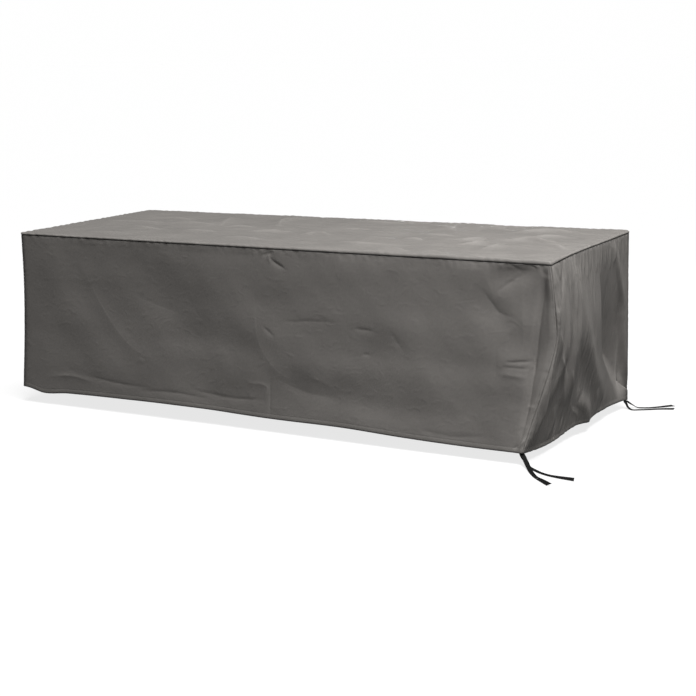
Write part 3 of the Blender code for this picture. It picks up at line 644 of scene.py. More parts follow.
def seam_pucker(along, distance, height, seed):
    """Little waves along a seam that die away from it."""
    wave = uneven(along, np.zeros_like(along), PUCKER_WAVE, seed)
    return height * wave * np.exp(-((distance / PUCKER_WIDTH) ** 2)) * np.clip(distance / PUCKER_CALM, 0, 1)


def seam_shape(distance):
    """How the cloth rolls down into a seam: a quarter round."""
    inside = np.clip(SEAM_RADIUS - distance, 0, SEAM_RADIUS)
    return np.sqrt(np.maximum(SEAM_RADIUS**2 - inside**2, 0)) - SEAM_RADIUS


def corner_place(number, depth, turn):
    """Points of the outline at a corner: turn 0 is its first flat end, 0.5 its seam, 1 its second."""
    sections, side_x, side_y = CORNERS[number]
    before, seam, after = (
        np.stack([smooth_table([(row[0], row[column][axis]) for row in sections], depth)
                  for axis in (0, 1)], axis=-1)
        for column in (1, 2, 3)
    )
    pull = 2 * seam - (before + after) / 2
    turn = np.asarray(turn, float)[..., None]
    place = (1 - turn) ** 2 * before + 2 * turn * (1 - turn) * pull + turn**2 * after
    return np.array([side_x * HALF_LENGTH, side_y * HALF_WIDTH]) + place


def grid_normals(points):
    """Unit normals of a grid of points, facing out where columns run right and rows run down."""
    normals = np.cross(np.gradient(points, axis=1), np.gradient(points, axis=0))
    return normals / np.maximum(np.linalg.norm(normals, axis=-1), 1e-12)[..., None]


def run_lengths(points, axis):
    """The length walked along each line of a grid, from its first point."""
    steps = np.linalg.norm(np.diff(points, axis=axis), axis=-1)
    zero = np.zeros_like(np.take(steps, [0], axis=axis))
    return np.concatenate([zero, np.cumsum(steps, axis=axis)], axis=axis)


@dataclass
class Skirt:
    """One side of the cover, from one corner seam to the next, and the sheet that it is cut from."""

    name: str
    node: str
    corners: tuple  # numbers of its first and its second corner
    axis: int  # 0 where the side runs along x, 1 where it runs along y
    bow: tuple
    seam: tuple
    hem: tuple
    folds: tuple
    creases: tuple
    spans: tuple  # its flat stretches: start, end, number of columns
    zones: tuple  # columns in each of its corners
    rows: int
    relief: tuple
    seed: int  # of the puckers under its top seam
    # painted shade along each corner seam: its tone, its half width
    grooves: tuple  # the dark line at each corner seam: its tone, its half width
    flat: tuple  # size of the flat cloth
    stretch: tuple  # which way its finest creases run
    offset: tuple  # moves its patches
    busy: tuple = EVEN
    runs_down: bool = False
    calm: float = 0.03  # the small relief fades out over this distance from a seam
    top_pucker: float = 1.0

    def shares(self):
        """Where its flat columns stand, as shares of the way from its first corner to its second."""
        runs = [np.linspace(start, end, count + 1)[:-1] for start, end, count in self.spans]
        places = np.concatenate(runs + [[self.spans[-1][1]]])
        shares = (places - places[0]) / (places[-1] - places[0])
        runs_back = self.corners[0] >= 2  # the back and the left end run towards - from their first corner
        return (1 - shares)[::-1] if runs_back else shares

    def zone_length(self, number, depth, leaving):
        """The length of half a corner, from its seam to where the side turns flat."""
        turns = np.linspace(0.5, 1.0 if leaving else 0.0, ZONE_STEPS)
        places = [corner_place(number, depth, np.full(np.shape(depth), turn)) for turn in turns]
        return sum(np.linalg.norm(b - a, axis=-1) for a, b in zip(places, places[1:]))

    def zone_place(self, number, depth, leaving, mark, share):
        """A place in a corner: mark metres from its seam, then a share of the way to the flat stretch."""
        length = self.zone_length(number, depth, leaving)
        turn = 0.5 * (mark + share * (length - mark)) / length
        return corner_place(number, depth, 0.5 + turn if leaving else 0.5 - turn)

    def columns(self):
        """Each column as a function of depth that gives its place in plan."""
        def zone(number, leaving, count):
            steps = [(mark, 0.0) for mark in EDGE_MARKS]
            steps += [(EDGE_MARKS[-1], k / count) for k in range(1, count)]
            return [lambda depth, m=m, s=s: self.zone_place(number, depth, leaving, m, s) for m, s in steps]

        flat = [lambda depth, s=s: self.flat_place(s, depth) for s in self.shares()]
        first, second = self.corners
        return zone(first, True, self.zones[0]) + flat + zone(second, False, self.zones[1])[::-1]

    def flat_place(self, share, depth):
        """A place between the two corners, with the side's bow."""
        start = corner_place(self.corners[0], depth, np.ones(np.shape(depth)))
        end = corner_place(self.corners[1], depth, np.zeros(np.shape(depth)))
        run = (end - start) / np.linalg.norm(end - start, axis=-1)[..., None]
        outward = np.stack([run[..., 1], -run[..., 0]], axis=-1)
        reach = (np.maximum(depth, 0) / SKIRT) ** BOW_GROWTH
        return start + (end - start) * share + outward * (smooth_table(self.bow, share) * reach)[..., None]

    def base(self):
        """The side without its folds: points as columns by rows, from the top seam to the hem."""
        lines = []
        for place_at in self.columns():
            seam = smooth_table(self.seam, place_at(np.zeros(1))[0, self.axis])
            hem = smooth_table(self.hem, place_at(np.full(1, SKIRT))[0, self.axis])
            top = seam + np.array(EDGE_MARKS)
            bottom = hem - np.array(HEM_MARKS)[::-1]
            middle = np.linspace(top[-1], bottom[0], self.rows + 2)[1:-1]
            depth = np.concatenate([top, middle, bottom])
            plan = place_at((depth - seam) / (hem - seam) * hem)
            lines.append(np.column_stack([plan, TOP_Z - depth]))
        points = np.array(lines)
        ends = (len(EDGE_MARKS) + self.zones[0] - 1, len(points) - len(EDGE_MARKS) - self.zones[1])
        for end in ends:
            reach = slice(max(end - ZONE_REACH, SEAM_KEPT), min(end + ZONE_REACH, len(points) - SEAM_KEPT))
            before = slice(reach.start - 1, reach.stop - 1)
            after = slice(reach.start + 1, reach.stop + 1)
            for _ in range(ZONE_SMOOTHING):
                points[reach] = (points[before] + 2 * points[reach] + points[after]) / 4
        return points

    def lift(self, points, pucker, forms):
        """How far the folds, creases and seams stand out; forms gives what is the side's own."""
        across, depth = points[..., self.axis], TOP_Z - points[..., 2]
        from_top, from_side, from_hem = edge_distances(points)
        clear = np.minimum(abs(across - across[0]), abs(across - across[-1]))
        calm = np.clip(clear / FOLD_CALM, 0, 1) * np.clip((depth - TOP_CALM) / FOLD_CALM, 0, 1)
        edge = np.minimum(from_top, from_side)
        lift = fold_height(across, depth, self.folds) * calm
        lift += fold_height(across, depth, self.creases, sharp=True) * np.clip(edge / CREASE_CALM, 0, 1)
        relief = small_relief(across, depth, self.relief, self.busy, self.runs_down)
        lift += relief * np.clip(edge / self.calm, 0, 1)
        lift += seam_pucker(across, from_top, pucker * self.top_pucker, self.seed)
        lift += seam_pucker(depth, from_side, pucker * SIDE_PUCKER, self.seed + 1)
        lift += forms(across, depth, from_top, from_side)
        lift += bells(from_side, SIDE_SWELLINGS) + bells(from_hem, HEM_SWELLINGS)
        return lift + seam_shape(from_top) + seam_shape(from_side)

    def groove(self, points):
        """How much painted shade darkens the cloth down in its seams and at its hem, from 0 to 1."""
        from_top, from_side, from_hem = edge_distances(points)
        half = len(points) // 2
        tone, half_width = np.repeat(self.grooves, (half, len(points) - half), axis=0).T[..., None]
        # painted shade down in the top seam, beside the corner seams and along the hem
        groove = np.exp(-((from_top / TOP_SEAM_SHADE) ** 2))
        groove = np.maximum(groove, tone * np.exp(-((from_side / half_width) ** 2)))
        return np.maximum(groove, HEM_SHADE_TONE * np.exp(-((from_hem / HEM_SHADE) ** 2)))


def edge_distances(points):
    """How far each point of a skirt is from its top seam, from its nearer corner seam and from its hem."""
    along, down = run_lengths(points, 0), run_lengths(points, 1)
    return down, np.minimum(along, along[-1:] - along), down[:, -1:] - down


def turn_under(points, normals, hemmed):
    """The panel's grid with its edges turned under, and which of its cells are there.

    A panel is sewn on all sides, or hemmed at its last row."""
    count = len(ALLOWANCE_MARKS)
    top = [points[:, :1] - normals[:, :1] * mark for mark in ALLOWANCE_MARKS[::-1]]
    bottom = hem_rows(points) if hemmed else [
        points[:, -1:] - normals[:, -1:] * mark for mark in ALLOWANCE_MARKS]
    grid = np.concatenate(top + [points] + bottom, axis=1)
    margins = ((0, 0), (count, len(bottom)), (0, 0))
    inner, inward = np.pad(points, margins, mode="edge"), np.pad(normals, margins, mode="edge")
    first = [inner[:1] - inward[:1] * mark for mark in ALLOWANCE_MARKS[::-1]]
    last = [inner[-1:] - inward[-1:] * mark for mark in ALLOWANCE_MARKS]
    grid = np.concatenate(first + [grid] + last)
    present = np.ones(((grid.shape[0] - 1) // 2, (grid.shape[1] - 1) // 2), bool)
    for columns in (slice(0, count // 2), slice(present.shape[0] - count // 2, None)):
        present[columns, : count // 2] = False
        present[columns, present.shape[1] - len(bottom) // 2:] = False
    return grid, present


def hem_rows(points):
    """The cloth's edge turned up inside: round the fold, then up behind the face."""
    normals = grid_normals(points)
    edge, normal = points[:, -1:], normals[:, -1:]
    down = points[:, -1:] - points[:, -2:-1]
    down = down / np.linalg.norm(down, axis=-1)[..., None]
    rows = []
    for angle in np.radians(HEM_TURN_ANGLES):
        rows.append(edge + down * HEM_RADIUS * math.sin(angle) - normal * HEM_RADIUS * (1 - math.cos(angle)))
    for mark in HEM_TURN_MARKS:
        row = slice(-1 - mark, -mark)
        rows.append(points[:, row] - normals[:, row] * 2 * HEM_RADIUS)
    return rows


def closed_sheet(name, outer, present, thickness, places, seams, groove):
    """A thin closed sheet: its outer side on every line of the grid, its inner side on every second."""
    columns, rows = outer.shape[:2]
    inner = outer - grid_normals(outer) * thickness
    number = np.arange(columns * rows).reshape(columns, rows)
    under = number + columns * rows
    cells = np.argwhere(present)
    i, j = 2 * cells[:, 0], 2 * cells[:, 1]
    faces = []
    for a in (0, 1):
        for b in (0, 1):
            quad = (number[i + a, j + b], number[i + a, j + b + 1], number[i + a + 1, j + b + 1],
                    number[i + a + 1, j + b])
            faces += np.stack(quad, axis=-1).tolist()
    faces += np.stack((under[i, j], under[i + 2, j], under[i + 2, j + 2], under[i, j + 2]), axis=-1).tolist()
    padded = np.pad(present, 1)
    # walls close the sheet where a cell has no neighbour: the step to it, the shared edge's three points
    walls = (
        ((-1, 0), ((0, 0), (0, 1), (0, 2))),
        ((0, 1), ((0, 2), (1, 2), (2, 2))),
        ((1, 0), ((2, 2), (2, 1), (2, 0))),
        ((0, -1), ((2, 0), (1, 0), (0, 0))),
    )
    for (step_a, step_b), edge in walls:
        bare = cells[~padded[cells[:, 0] + 1 + step_a, cells[:, 1] + 1 + step_b]]
        for a, b in 2 * bare:
            line = [number[a + p, b + q] for p, q in edge]
            (p0, q0), (p2, q2) = edge[0], edge[2]
            wall = (line[2], line[1], line[0], under[a + p0, b + q0], under[a + p2, b + q2])
            faces.append([int(corner) for corner in wall])
    used = np.unique(np.concatenate([np.array(face) for face in faces]))
    index = np.full(2 * columns * rows, -1)
    index[used] = np.arange(len(used))
    mesh = bpy.data.meshes.new(name)
    spots = np.concatenate([outer.reshape(-1, 3), inner.reshape(-1, 3)])[used]
    mesh.from_pydata(spots.tolist(), [], [index[face].tolist() for face in faces])
    mesh.shade_smooth()
    add_values(mesh, "cloth_place", "FLOAT_VECTOR", "vector", np.tile(places.reshape(-1, 3), (2, 1))[used])
    add_values(mesh, "near_seam", "FLOAT", "value", np.tile(seams.reshape(-1), 2)[used])
    # painted shade down in the seams and along the hem
    add_values(mesh, "in_groove", "FLOAT", "value", np.tile(groove.reshape(-1), 2)[used])
    return link_object(name, mesh)


def add_values(mesh, name, kind, field, values):
    """Stores one value, or one vector, for each point of a mesh."""
    layer = mesh.attributes.new(name, kind, "POINT")
    layer.data.foreach_set(field, np.ascontiguousarray(values, np.float32).ravel())


def link_object(name, data):
    """A new object in the scene."""
    made = bpy.data.objects.new(name, data)
    bpy.context.scene.collection.objects.link(made)
    return made


# ---------------------------------------------------------------- materials
class Nodes:
    """Short ways to add and link nodes in one tree."""

    def __init__(self, tree):
        self.tree = tree

    def add(self, kind, *links, **settings):
        """A node of that kind; each link is (input, value or output socket)."""
        node = self.tree.nodes.new(kind)
        for key, value in settings.items():
            setattr(node, key, value)
        for socket, value in links:
            if isinstance(value, bpy.types.NodeSocket):
                self.tree.links.new(value, node.inputs[socket])
            else:
                node.inputs[socket].default_value = value
        return node

    def math(self, operation, *values):
        """The result of one sum on numbers."""
        return self.add("ShaderNodeMath", *enumerate(values), operation=operation).outputs[0]

    def vector(self, operation, first, second):
        """The result of one sum on vectors."""
        return self.add("ShaderNodeVectorMath", (0, first), (1, second), operation=operation).outputs[0]

    def attribute(self, name, output):
        """A value stored in the mesh."""
        return self.add("ShaderNodeAttribute", attribute_name=name).outputs[output]

    def noise(self, place, size, *links, **settings):
        """A noise whose patches have that size."""
        links = (("Vector", place), ("Scale", self.math("DIVIDE", 1.0, size)), *links)
        return self.add("ShaderNodeTexNoise", *links, **settings).outputs[0]

    def blend(self, share, first, second):
        """A colour between two."""
        return self.add("ShaderNodeMix", (0, share), (6, first), (7, second), data_type="RGBA").outputs[2]

    def spread(self, noise, low, high):
        """A noise spread from a low value to a high one."""
        span = ((1, NOISE_SPAN[0]), (2, NOISE_SPAN[1]), (3, low), (4, high))
        return self.add("ShaderNodeMapRange", (0, noise), *span).outputs[0]

    def bumped(self, height):
        """The normal of a surface with that height in metres."""
        return self.add("ShaderNodeBump", ("Height", height), ("Distance", 1.0), ("Strength", 1.0)).outputs[0]

    def use(self, maker, *links):
        """The output of a shared group, which is built on its first use."""
        group = bpy.data.node_groups.get(group_name(maker)) or maker()
        return self.add("ShaderNodeGroup", *links, node_tree=group).outputs[0]


def group_name(maker):
    """The name of a shared group in plain words, after the function that builds it."""
    return maker.__name__.replace("_", " ").capitalize()


def node_group(maker, inputs, output):
    """A new shader group with one output: the group, the nodes in it, and the sockets of its inputs."""
    group = bpy.data.node_groups.new(group_name(maker), "ShaderNodeTree")
    for label, kind, default in inputs:
        socket = group.interface.new_socket(name=label, in_out="INPUT", socket_type="NodeSocket" + kind)
        if default is not None:
            socket.default_value = default
    group.interface.new_socket(name=output, in_out="OUTPUT", socket_type="NodeSocketFloat")
    nodes = Nodes(group)
    return group, nodes, nodes.add("NodeGroupInput").outputs


def woven_threads():
    """Plain weave: threads that pass over and under each other."""
    group, nodes, given = node_group(
        woven_threads, (("Place", "Vector", None), ("Pitch", "Float", 0.001)), "Height")
    split = nodes.add("ShaderNodeSeparateXYZ", (0, given["Place"])).outputs
    turns = nodes.math("DIVIDE", math.pi, given["Pitch"])
    across = nodes.math("SINE", nodes.math("MULTIPLY", split[0], turns))
    down = nodes.math("SINE", nodes.math("MULTIPLY", split[1], turns))
    nodes.add("NodeGroupOutput", (0, nodes.math("MULTIPLY", across, down)))
    return group


def soft_mottle():
    """Uneven tone of cloth that has stood outdoors: broad patches and a fine speckle."""
    group, nodes, given = node_group(
        soft_mottle,
        (("Place", "Vector", None), ("Patch Size", "Float", 0.2), ("Speckle Size", "Float", 0.01),
         ("Speckle Share", "Float", 0.3)), "Tone")
    broad = nodes.noise(given["Place"], given["Patch Size"], ("Detail", 3.0))
    fine = nodes.noise(given["Place"], given["Speckle Size"], ("Detail", 2.0))
    tone = nodes.add("ShaderNodeMix", (0, given["Speckle Share"]), (2, broad), (3, fine)).outputs[0]
    nodes.add("NodeGroupOutput", (0, tone))
    return group


def soft_crumple():
    """Finest creases of a stiff coated cloth, as a height in metres."""
    group, nodes, given = node_group(
        soft_crumple,
        (("Place", "Vector", None), ("Stretch", "Vector", (1.0, 1.0, 1.0)), ("Size", "Float", 0.04),
         ("Height", "Float", 0.0004)), "Height")
    place = nodes.vector("MULTIPLY", given["Place"], given["Stretch"])
    crease = nodes.noise(place, given["Size"], ("Detail", 4.0), ("Roughness", 0.55), ("Distortion", 0.6),
                         noise_type="RIDGED_MULTIFRACTAL")
    nodes.add("NodeGroupOutput", (0, nodes.math("MULTIPLY", crease, given["Height"])))
    return group


def new_material(name):
    """An empty material, and the nodes in it."""
    made = bpy.data.materials.new(name)
    made.use_nodes = True
    made.node_tree.nodes.clear()
    return made, Nodes(made.node_tree)


def finish_material(nodes, *links):
    """Adds the surface shader with its links, and the material's output."""
    shader = nodes.add("ShaderNodeBsdfPrincipled", *links)
    nodes.add("ShaderNodeOutputMaterial", (0, shader.outputs[0]))


def cloth_material(name, look, stretch, offset):
    """Coated woven cloth. stretch sets which way its fine creases run; offset moves its patches."""
    made, nodes = new_material(name)
    place = nodes.attribute("cloth_place", "Vector")
    moved = nodes.vector("ADD", place, offset)
    mottle = nodes.use(soft_mottle, ("Place", moved), ("Patch Size", 0.22), ("Speckle Size", 0.012),
                       ("Speckle Share", 0.35))
    dust = nodes.use(soft_mottle, ("Place", moved), ("Patch Size", 0.05), ("Speckle Size", 0.004),
                     ("Speckle Share", 0.4))
    weave = nodes.use(woven_threads, ("Place", place), ("Pitch", look.thread_pitch))
    crumple = nodes.use(soft_crumple, ("Place", moved), ("Stretch", stretch), ("Size", look.crumple_size),
                        ("Height", look.crumple_height))
    base = nodes.blend(nodes.spread(mottle, 0.0, 1.0), look.cloth_dark, look.cloth_light)
    worn = nodes.math("MULTIPLY", nodes.attribute("near_seam", "Fac"), dust)
    dusty = nodes.blend(worn, base, look.cloth_worn)
    # painted shade: the cloth turns near black down in its seams and along its hem
    colour = nodes.blend(nodes.attribute("in_groove", "Fac"), dusty, look.groove_dark)
    height = nodes.math("MULTIPLY_ADD", weave, WEAVE_HEIGHT, crumple)
    finish_material(nodes, ("Base Color", colour), ("Roughness", nodes.spread(dust, *CLOTH_ROUGHNESS)),
                    ("Normal", nodes.bumped(height)), ("Specular IOR Level", 0.35))
    return made


def webbing_material(look):
    """Black woven tape with fine ribs across it."""
    made, nodes = new_material("Black webbing")
    place = nodes.attribute("cloth_place", "Vector")
    weave = nodes.use(woven_threads, ("Place", place), ("Pitch", RIB_PITCH))
    mottle = nodes.use(soft_mottle, ("Place", place), ("Patch Size", 0.04), ("Speckle Size", 0.002),
                       ("Speckle Share", 0.5))
    height = nodes.math("MULTIPLY", weave, RIB_HEIGHT)
    finish_material(nodes, ("Base Color", nodes.blend(mottle, look.tape_dark, look.tape_light)),
                    ("Roughness", nodes.spread(mottle, *WEBBING_ROUGHNESS)),
                    ("Normal", nodes.bumped(height)), ("Specular IOR Level", 0.05))
    return made


def floor_material(studio):
    """A pale floor lit from below, which throws little of its light back onto the cloth."""
    made, nodes = new_material("Pale floor")
    seen = nodes.add("ShaderNodeLightPath").outputs["Is Camera Ray"]
    colour = nodes.blend(seen, (*studio.floor_bounce, 1.0), (*studio.floor_colour, 1.0))
    glow = nodes.math("MULTIPLY", seen, studio.floor_glow)
    finish_material(nodes, ("Base Color", colour), ("Roughness", 0.9), ("Specular IOR Level", 0.0),
                    ("Emission Color", WHITE), ("Emission Strength", glow))
    return made


# ---------------------------------------------------------------- settings
def length(name, description, default):
    """A length in metres."""
    return bpy.props.FloatProperty(name=name, description=description, default=default, unit="LENGTH")


def colour(name, description, *default):
    """A colour, with or without its alpha."""
    return bpy.props.FloatVectorProperty(name=name, description=description, default=default,
                                         size=len(default), subtype="COLOR")


def amount(name, description, default):
    """A plain number."""
    return bpy.props.FloatProperty(name=name, description=description, default=default)


def turn(name, description, degrees):
    """An angle, whose default is given in degrees."""
    return bpy.props.FloatProperty(name=name, description=description, default=math.radians(degrees),
                                   subtype="ANGLE")


def stand(name, description, *default):
    """A place in the studio."""
    return bpy.props.FloatVectorProperty(name=name, description=description, default=default,
                                         subtype="TRANSLATION")


class CoverSizes(bpy.types.PropertyGroup):
    """Sizes of the sewn cloth."""

    cloth_thickness: length("Cloth thickness", "Thickness of one layer of the cloth", 0.0007)
    pucker_height: length("Pucker height", "How far the cloth puckers beside a seam", 0.0007)
    top_ripple: length("Top ripple", "Height of the long low ripples of the top", 0.0019)


class CoverLook(bpy.types.PropertyGroup):
    """Colours and finish of the cloth and the webbing."""

    cloth_dark: colour("Dark cloth", "Colour of the cloth's darker patches", 0.166, 0.1565, 0.1470, 1.0)
    cloth_light: colour("Light cloth", "Colour of the cloth's lighter patches", 0.200, 0.1885, 0.1770, 1.0)
    cloth_worn: colour("Worn cloth", "Colour where the cloth is rubbed and dusty beside its seams",
                       0.250, 0.2360, 0.2220, 1.0)
    # painted shade: the near black that the seams and the hem's edge are coloured with, for the shadow down
    # in them
    groove_dark: colour("Groove", "Colour of the dirt and thread down in the seams", 0.012, 0.011, 0.011, 1.0)
    thread_pitch: length("Thread pitch", "Distance between two threads of the cloth", 0.0007)
    crumple_size: length("Crumple size", "Size of the cloth's finest creases", 0.045)
    crumple_height: length("Crumple height", "Height of the cloth's finest creases", 0.0007)
    tape_dark: colour("Dark webbing", "Colour of the webbing's darker threads", 0.004, 0.004, 0.004, 1.0)
    tape_light: colour("Light webbing", "Colour of the webbing's lighter threads", 0.012, 0.012, 0.012, 1.0)


class StudioSettings(bpy.types.PropertyGroup):
    """Camera, floor and light."""

    lens: amount("Lens", "Focal length in millimetres on a 36 mm sensor", 74.98)
    camera_place: stand("Camera", "Where the camera stands", 2.9129, -5.3248, 0.7369)
    camera_yaw: turn("Yaw", "Turn of the view from +Y towards +X", -27.588)
    camera_pitch: turn("Pitch", "How far the view looks down", 11.532)
    camera_roll: turn("Roll", "Turn about the line of sight", -0.933)
    floor_colour: colour("Floor", "Colour of the floor", 0.18, 0.18, 0.18)
    floor_bounce: colour("Floor bounce", "Colour of the light that the floor throws back", 0.10, 0.10, 0.10)
    floor_glow: amount("Floor glow", "How brightly the floor is lit from below", 0.785)
    sky_strength: amount("Fill light", "Strength of the even light all round", 0.10)
    key_strength: amount("Overhead light", "Strength of the wide light from above", 3.60)
    key_direction: stand("Overhead direction", "Where the wide light stands, seen from the cover",
                         0.28, -0.23, 1.0)
    soft_power: amount("Softbox", "Power of the softbox over the near right corner, in watts", 66.0)
    soft_place: stand("Softbox place", "Where the softbox hangs", 1.9, -1.0, 2.4)
    front_power: amount("Front softbox", "Power of the softbox in front, in watts", 3.0)
    front_place: stand("Front softbox place", "Where the softbox in front stands", 2.4, -2.8, 0.3)
    back_power: amount("Back softbox", "Power of the low softbox behind the back panel, in watts", 95.0)
    back_place: stand("Back softbox place", "Where it stands, below the top", -1.2, 4.2, -0.28)
    right_power: amount("Right softbox", "Power of the low softbox beside the right end, in watts", 7.0)
    right_place: stand("Right softbox place", "Where it stands, below the top", 4.3, -0.9, -0.45)
    left_power: amount("Left softbox", "Power of the low softbox beside the left end, in watts", 50.0)
    left_place: stand("Left softbox place", "Where it stands, below the top", -4.2, 0.9, -0.28)


# ---------------------------------------------------------------- stage
def build_camera(studio):
    """Stands the camera where the photograph was taken from."""
    yaw, pitch, roll = studio.camera_yaw, studio.camera_pitch, studio.camera_roll
    ahead = np.array([math.sin(yaw) * math.cos(pitch), math.cos(yaw) * math.cos(pitch), -math.sin(pitch)])
    right = np.array([math.cos(yaw), -math.sin(yaw), 0.0])
    above = np.cross(right, ahead)
    data = bpy.data.cameras.new("camera")
    data.lens = studio.lens
    data.sensor_width = SENSOR_WIDTH
    camera = link_object("camera", data)
    matrix = np.eye(4)
    matrix[:3, 0] = right * math.cos(roll) + above * math.sin(roll)
    matrix[:3, 1] = above * math.cos(roll) - right * math.sin(roll)
    matrix[:3, 2] = -ahead
    matrix[:3, 3] = studio.camera_place
    camera.matrix_world = [list(row) for row in matrix.T]
    bpy.context.scene.camera = camera


def aim(toward):
    """The rotation that makes a lamp shine from that direction."""
    x, y, z = np.array(toward) / np.linalg.norm(toward)
    return (math.acos(z), 0.0, math.atan2(x, -y))


def softbox(name, power, place, target):
    """A square softbox that isn't seen itself."""
    soft = bpy.data.lights.new(name, "AREA")
    soft.energy = power
    soft.size = SOFTBOX_SIZE
    lamp = link_object(name, soft)
    lamp.location = place
    lamp.rotation_euler = aim(np.array(place) - np.array(target))
    lamp.visible_camera = False


def far_floor(studio):
    """How bright the floor is far from the cover, where the softboxes no longer reach."""
    light = studio.key_strength * studio.key_direction[2] / np.linalg.norm(studio.key_direction)
    return studio.floor_glow + studio.floor_colour[0] * (light / math.pi + studio.sky_strength)


def studio_world(studio):
    """An even light all round, which the camera sees as bright as the far floor."""
    world = bpy.data.worlds.new("studio")
    world.use_nodes = True
    world.node_tree.nodes.clear()
    nodes = Nodes(world.node_tree)
    seen = nodes.add("ShaderNodeLightPath").outputs["Is Camera Ray"]
    fill = nodes.add("ShaderNodeBackground", (0, WHITE), (1, studio.sky_strength))
    wall = nodes.add("ShaderNodeBackground", (0, WHITE), (1, far_floor(studio)))
    mix = nodes.add("ShaderNodeMixShader", (0, seen), (1, fill.outputs[0]), (2, wall.outputs[0]))
    nodes.add("ShaderNodeOutputWorld", (0, mix.outputs[0]))
    return world


class COVER_OT_stage(bpy.types.Operator):
    """Sets up the camera, the pale floor and the soft light"""

    bl_idname = "cover.stage"
    bl_label = "Stage"

    def execute(self, context):
        studio = context.scene.cover_studio
        build_camera(studio)
        half = FLOOR_SIZE / 2
        mesh = bpy.data.meshes.new("floor")
        corners = [(x * half, y * half, FLOOR_Z) for x, y in ((-1, -1), (1, -1), (1, 1), (-1, 1))]
        mesh.from_pydata(corners, [], [(0, 1, 2, 3)])
        mesh.materials.append(floor_material(studio))
        link_object("floor", mesh)
        key = bpy.data.lights.new("overhead", "SUN")
        key.energy = studio.key_strength
        key.angle = math.radians(SUN_ANGLE)
        link_object("overhead", key).rotation_euler = aim(studio.key_direction)
        for name, setting, target in SOFTBOXES:
            softbox(name, getattr(studio, setting + "_power"), getattr(studio, setting + "_place"), target)
        context.scene.world = studio_world(studio)
        context.scene.view_settings.view_transform = "Standard"
        return {"FINISHED"}


# ---------------------------------------------------------------- tie straps
def strap_sections(route):
    """Evenly spaced points of a strap's middle line, its direction there, and that of its width."""
    fine = smooth_curve(route, STRAP_CURVE_STEPS)
    passed = np.concatenate([[0.0], np.cumsum(np.linalg.norm(np.diff(fine[:, :3], axis=0), axis=1))])
    count = max(2, round(passed[-1] / STRAP_STEP))
    stops = np.linspace(0, passed[-1], count + 1)
    values = np.stack([np.interp(stops, passed, fine[:, column]) for column in range(5)], axis=-1)
    places = values[:, :3]
    heading, lean = np.radians(values[:, 3]), np.radians(values[:, 4])
    width = np.stack([np.cos(heading) * np.cos(lean), np.sin(heading) * np.cos(lean), np.sin(lean)], axis=-1)
    tangent = np.gradient(places, axis=0)
    tangent /= np.linalg.norm(tangent, axis=1)[:, None]
    width -= tangent * (width * tangent).sum(1)[:, None]
    width /= np.linalg.norm(width, axis=1)[:, None]
    return places, tangent, width, passed[-1]


def build_strap(node, route, slant, look):
    """One flat woven tape along its route, with an end cut at a slant."""
    places, tangent, width, length = strap_sections(route)
    thick = np.cross(tangent, width)
    ring = list(STRAP_SECTION) + [(-a, b) for a, b in STRAP_SECTION[-2:0:-1]]
    rings = np.stack(
        [places + width * STRAP_WIDTH / 2 * a + thick * STRAP_THICK / 2 * b for a, b in ring], axis=1)
    rings[-1] += tangent[-1] * slant / 2 * np.array([a for a, _ in ring])[:, None]
    count, around = rings.shape[:2]
    number = np.arange(count * around).reshape(count, around)
    beside = np.roll(number, -1, axis=1)
    sides = np.stack([number[:-1], beside[:-1], beside[1:], number[1:]], axis=-1).reshape(-1, 4).tolist()
    caps = [number[0][::-1].tolist(), number[-1].tolist()]
    mesh = bpy.data.meshes.new(node + "_tape")
    mesh.from_pydata(rings.reshape(-1, 3).tolist(), [], sides + caps)
    mesh.shade_smooth()
    mesh.set_sharp_from_angle(angle=math.radians(STRAP_SHARP_ANGLE))
    around_place = np.array([a for a, _ in ring]) * STRAP_WIDTH / 2
    run = np.linspace(0, length, count)
    spots = np.stack(np.broadcast_arrays(around_place[None, :], run[:, None], 0.0), axis=-1)
    add_values(mesh, "cloth_place", "FLOAT_VECTOR", "vector", spots)
    mesh.materials.append(bpy.data.materials.get("Black webbing") or webbing_material(look))
    tape = link_object(node + "_tape", mesh)
    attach(tape, "root")
    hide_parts(node)


class COVER_OT_ties(bpy.types.Operator):
    """Makes the four tie straps of flat woven tape"""

    bl_idname = "cover.ties"
    bl_label = "Tie straps"

    def execute(self, context):
        for node, route, slant in STRAPS:
            build_strap(node, route, slant, context.scene.cover_look)
        return {"FINISHED"}


# ---------------------------------------------------------------- panels
def finish_panel(context, name, node, points, normals, hemmed, from_edge, groove, rubbed, stretch, offset):
    """Turns the panel's edges under, makes its sheet and its material, and says what it is."""
    grid, present = turn_under(points, normals, hemmed)
    count = len(ALLOWANCE_MARKS)
    margins = ((count, count), (count, grid.shape[1] - count - points.shape[1]))
    columns, rows = grid.shape[:2]
    along, down = run_lengths(grid, 0), run_lengths(grid, 1)
    middle = down - down[:, rows // 2: rows // 2 + 1]
    across = along - along[columns // 2: columns // 2 + 1]
    places = np.stack([across, middle, np.zeros_like(across)], axis=-1)
    seams = np.maximum(np.exp(-((from_edge / RUBBED_SEAM) ** 2)), rubbed)
    seams, groove = (np.pad(values, margins, mode="edge") for values in (seams, groove))
    thickness = context.scene.cover_sizes.cloth_thickness
    piece = closed_sheet(name, grid, present, thickness, places, seams, groove)
    material = cloth_material("Coated cloth " + name, context.scene.cover_look, stretch, offset)
    piece.data.materials.append(material)
    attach(piece, "root")
    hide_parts(node)


def no_forms(across, depth, from_top, from_side):
    """A side without forms of its own."""
    return 0.0


def front_belly(across, depth, from_top, from_side):
    """The front swells out towards its right."""
    swell = np.sin(math.pi * np.clip(depth / FRONT_HEM[-1][1], 0, 1)) * np.clip(from_side / BELLY_CALM, 0, 1)
    return BELLY * np.interp(across, *BELLY_SPREAD) * swell


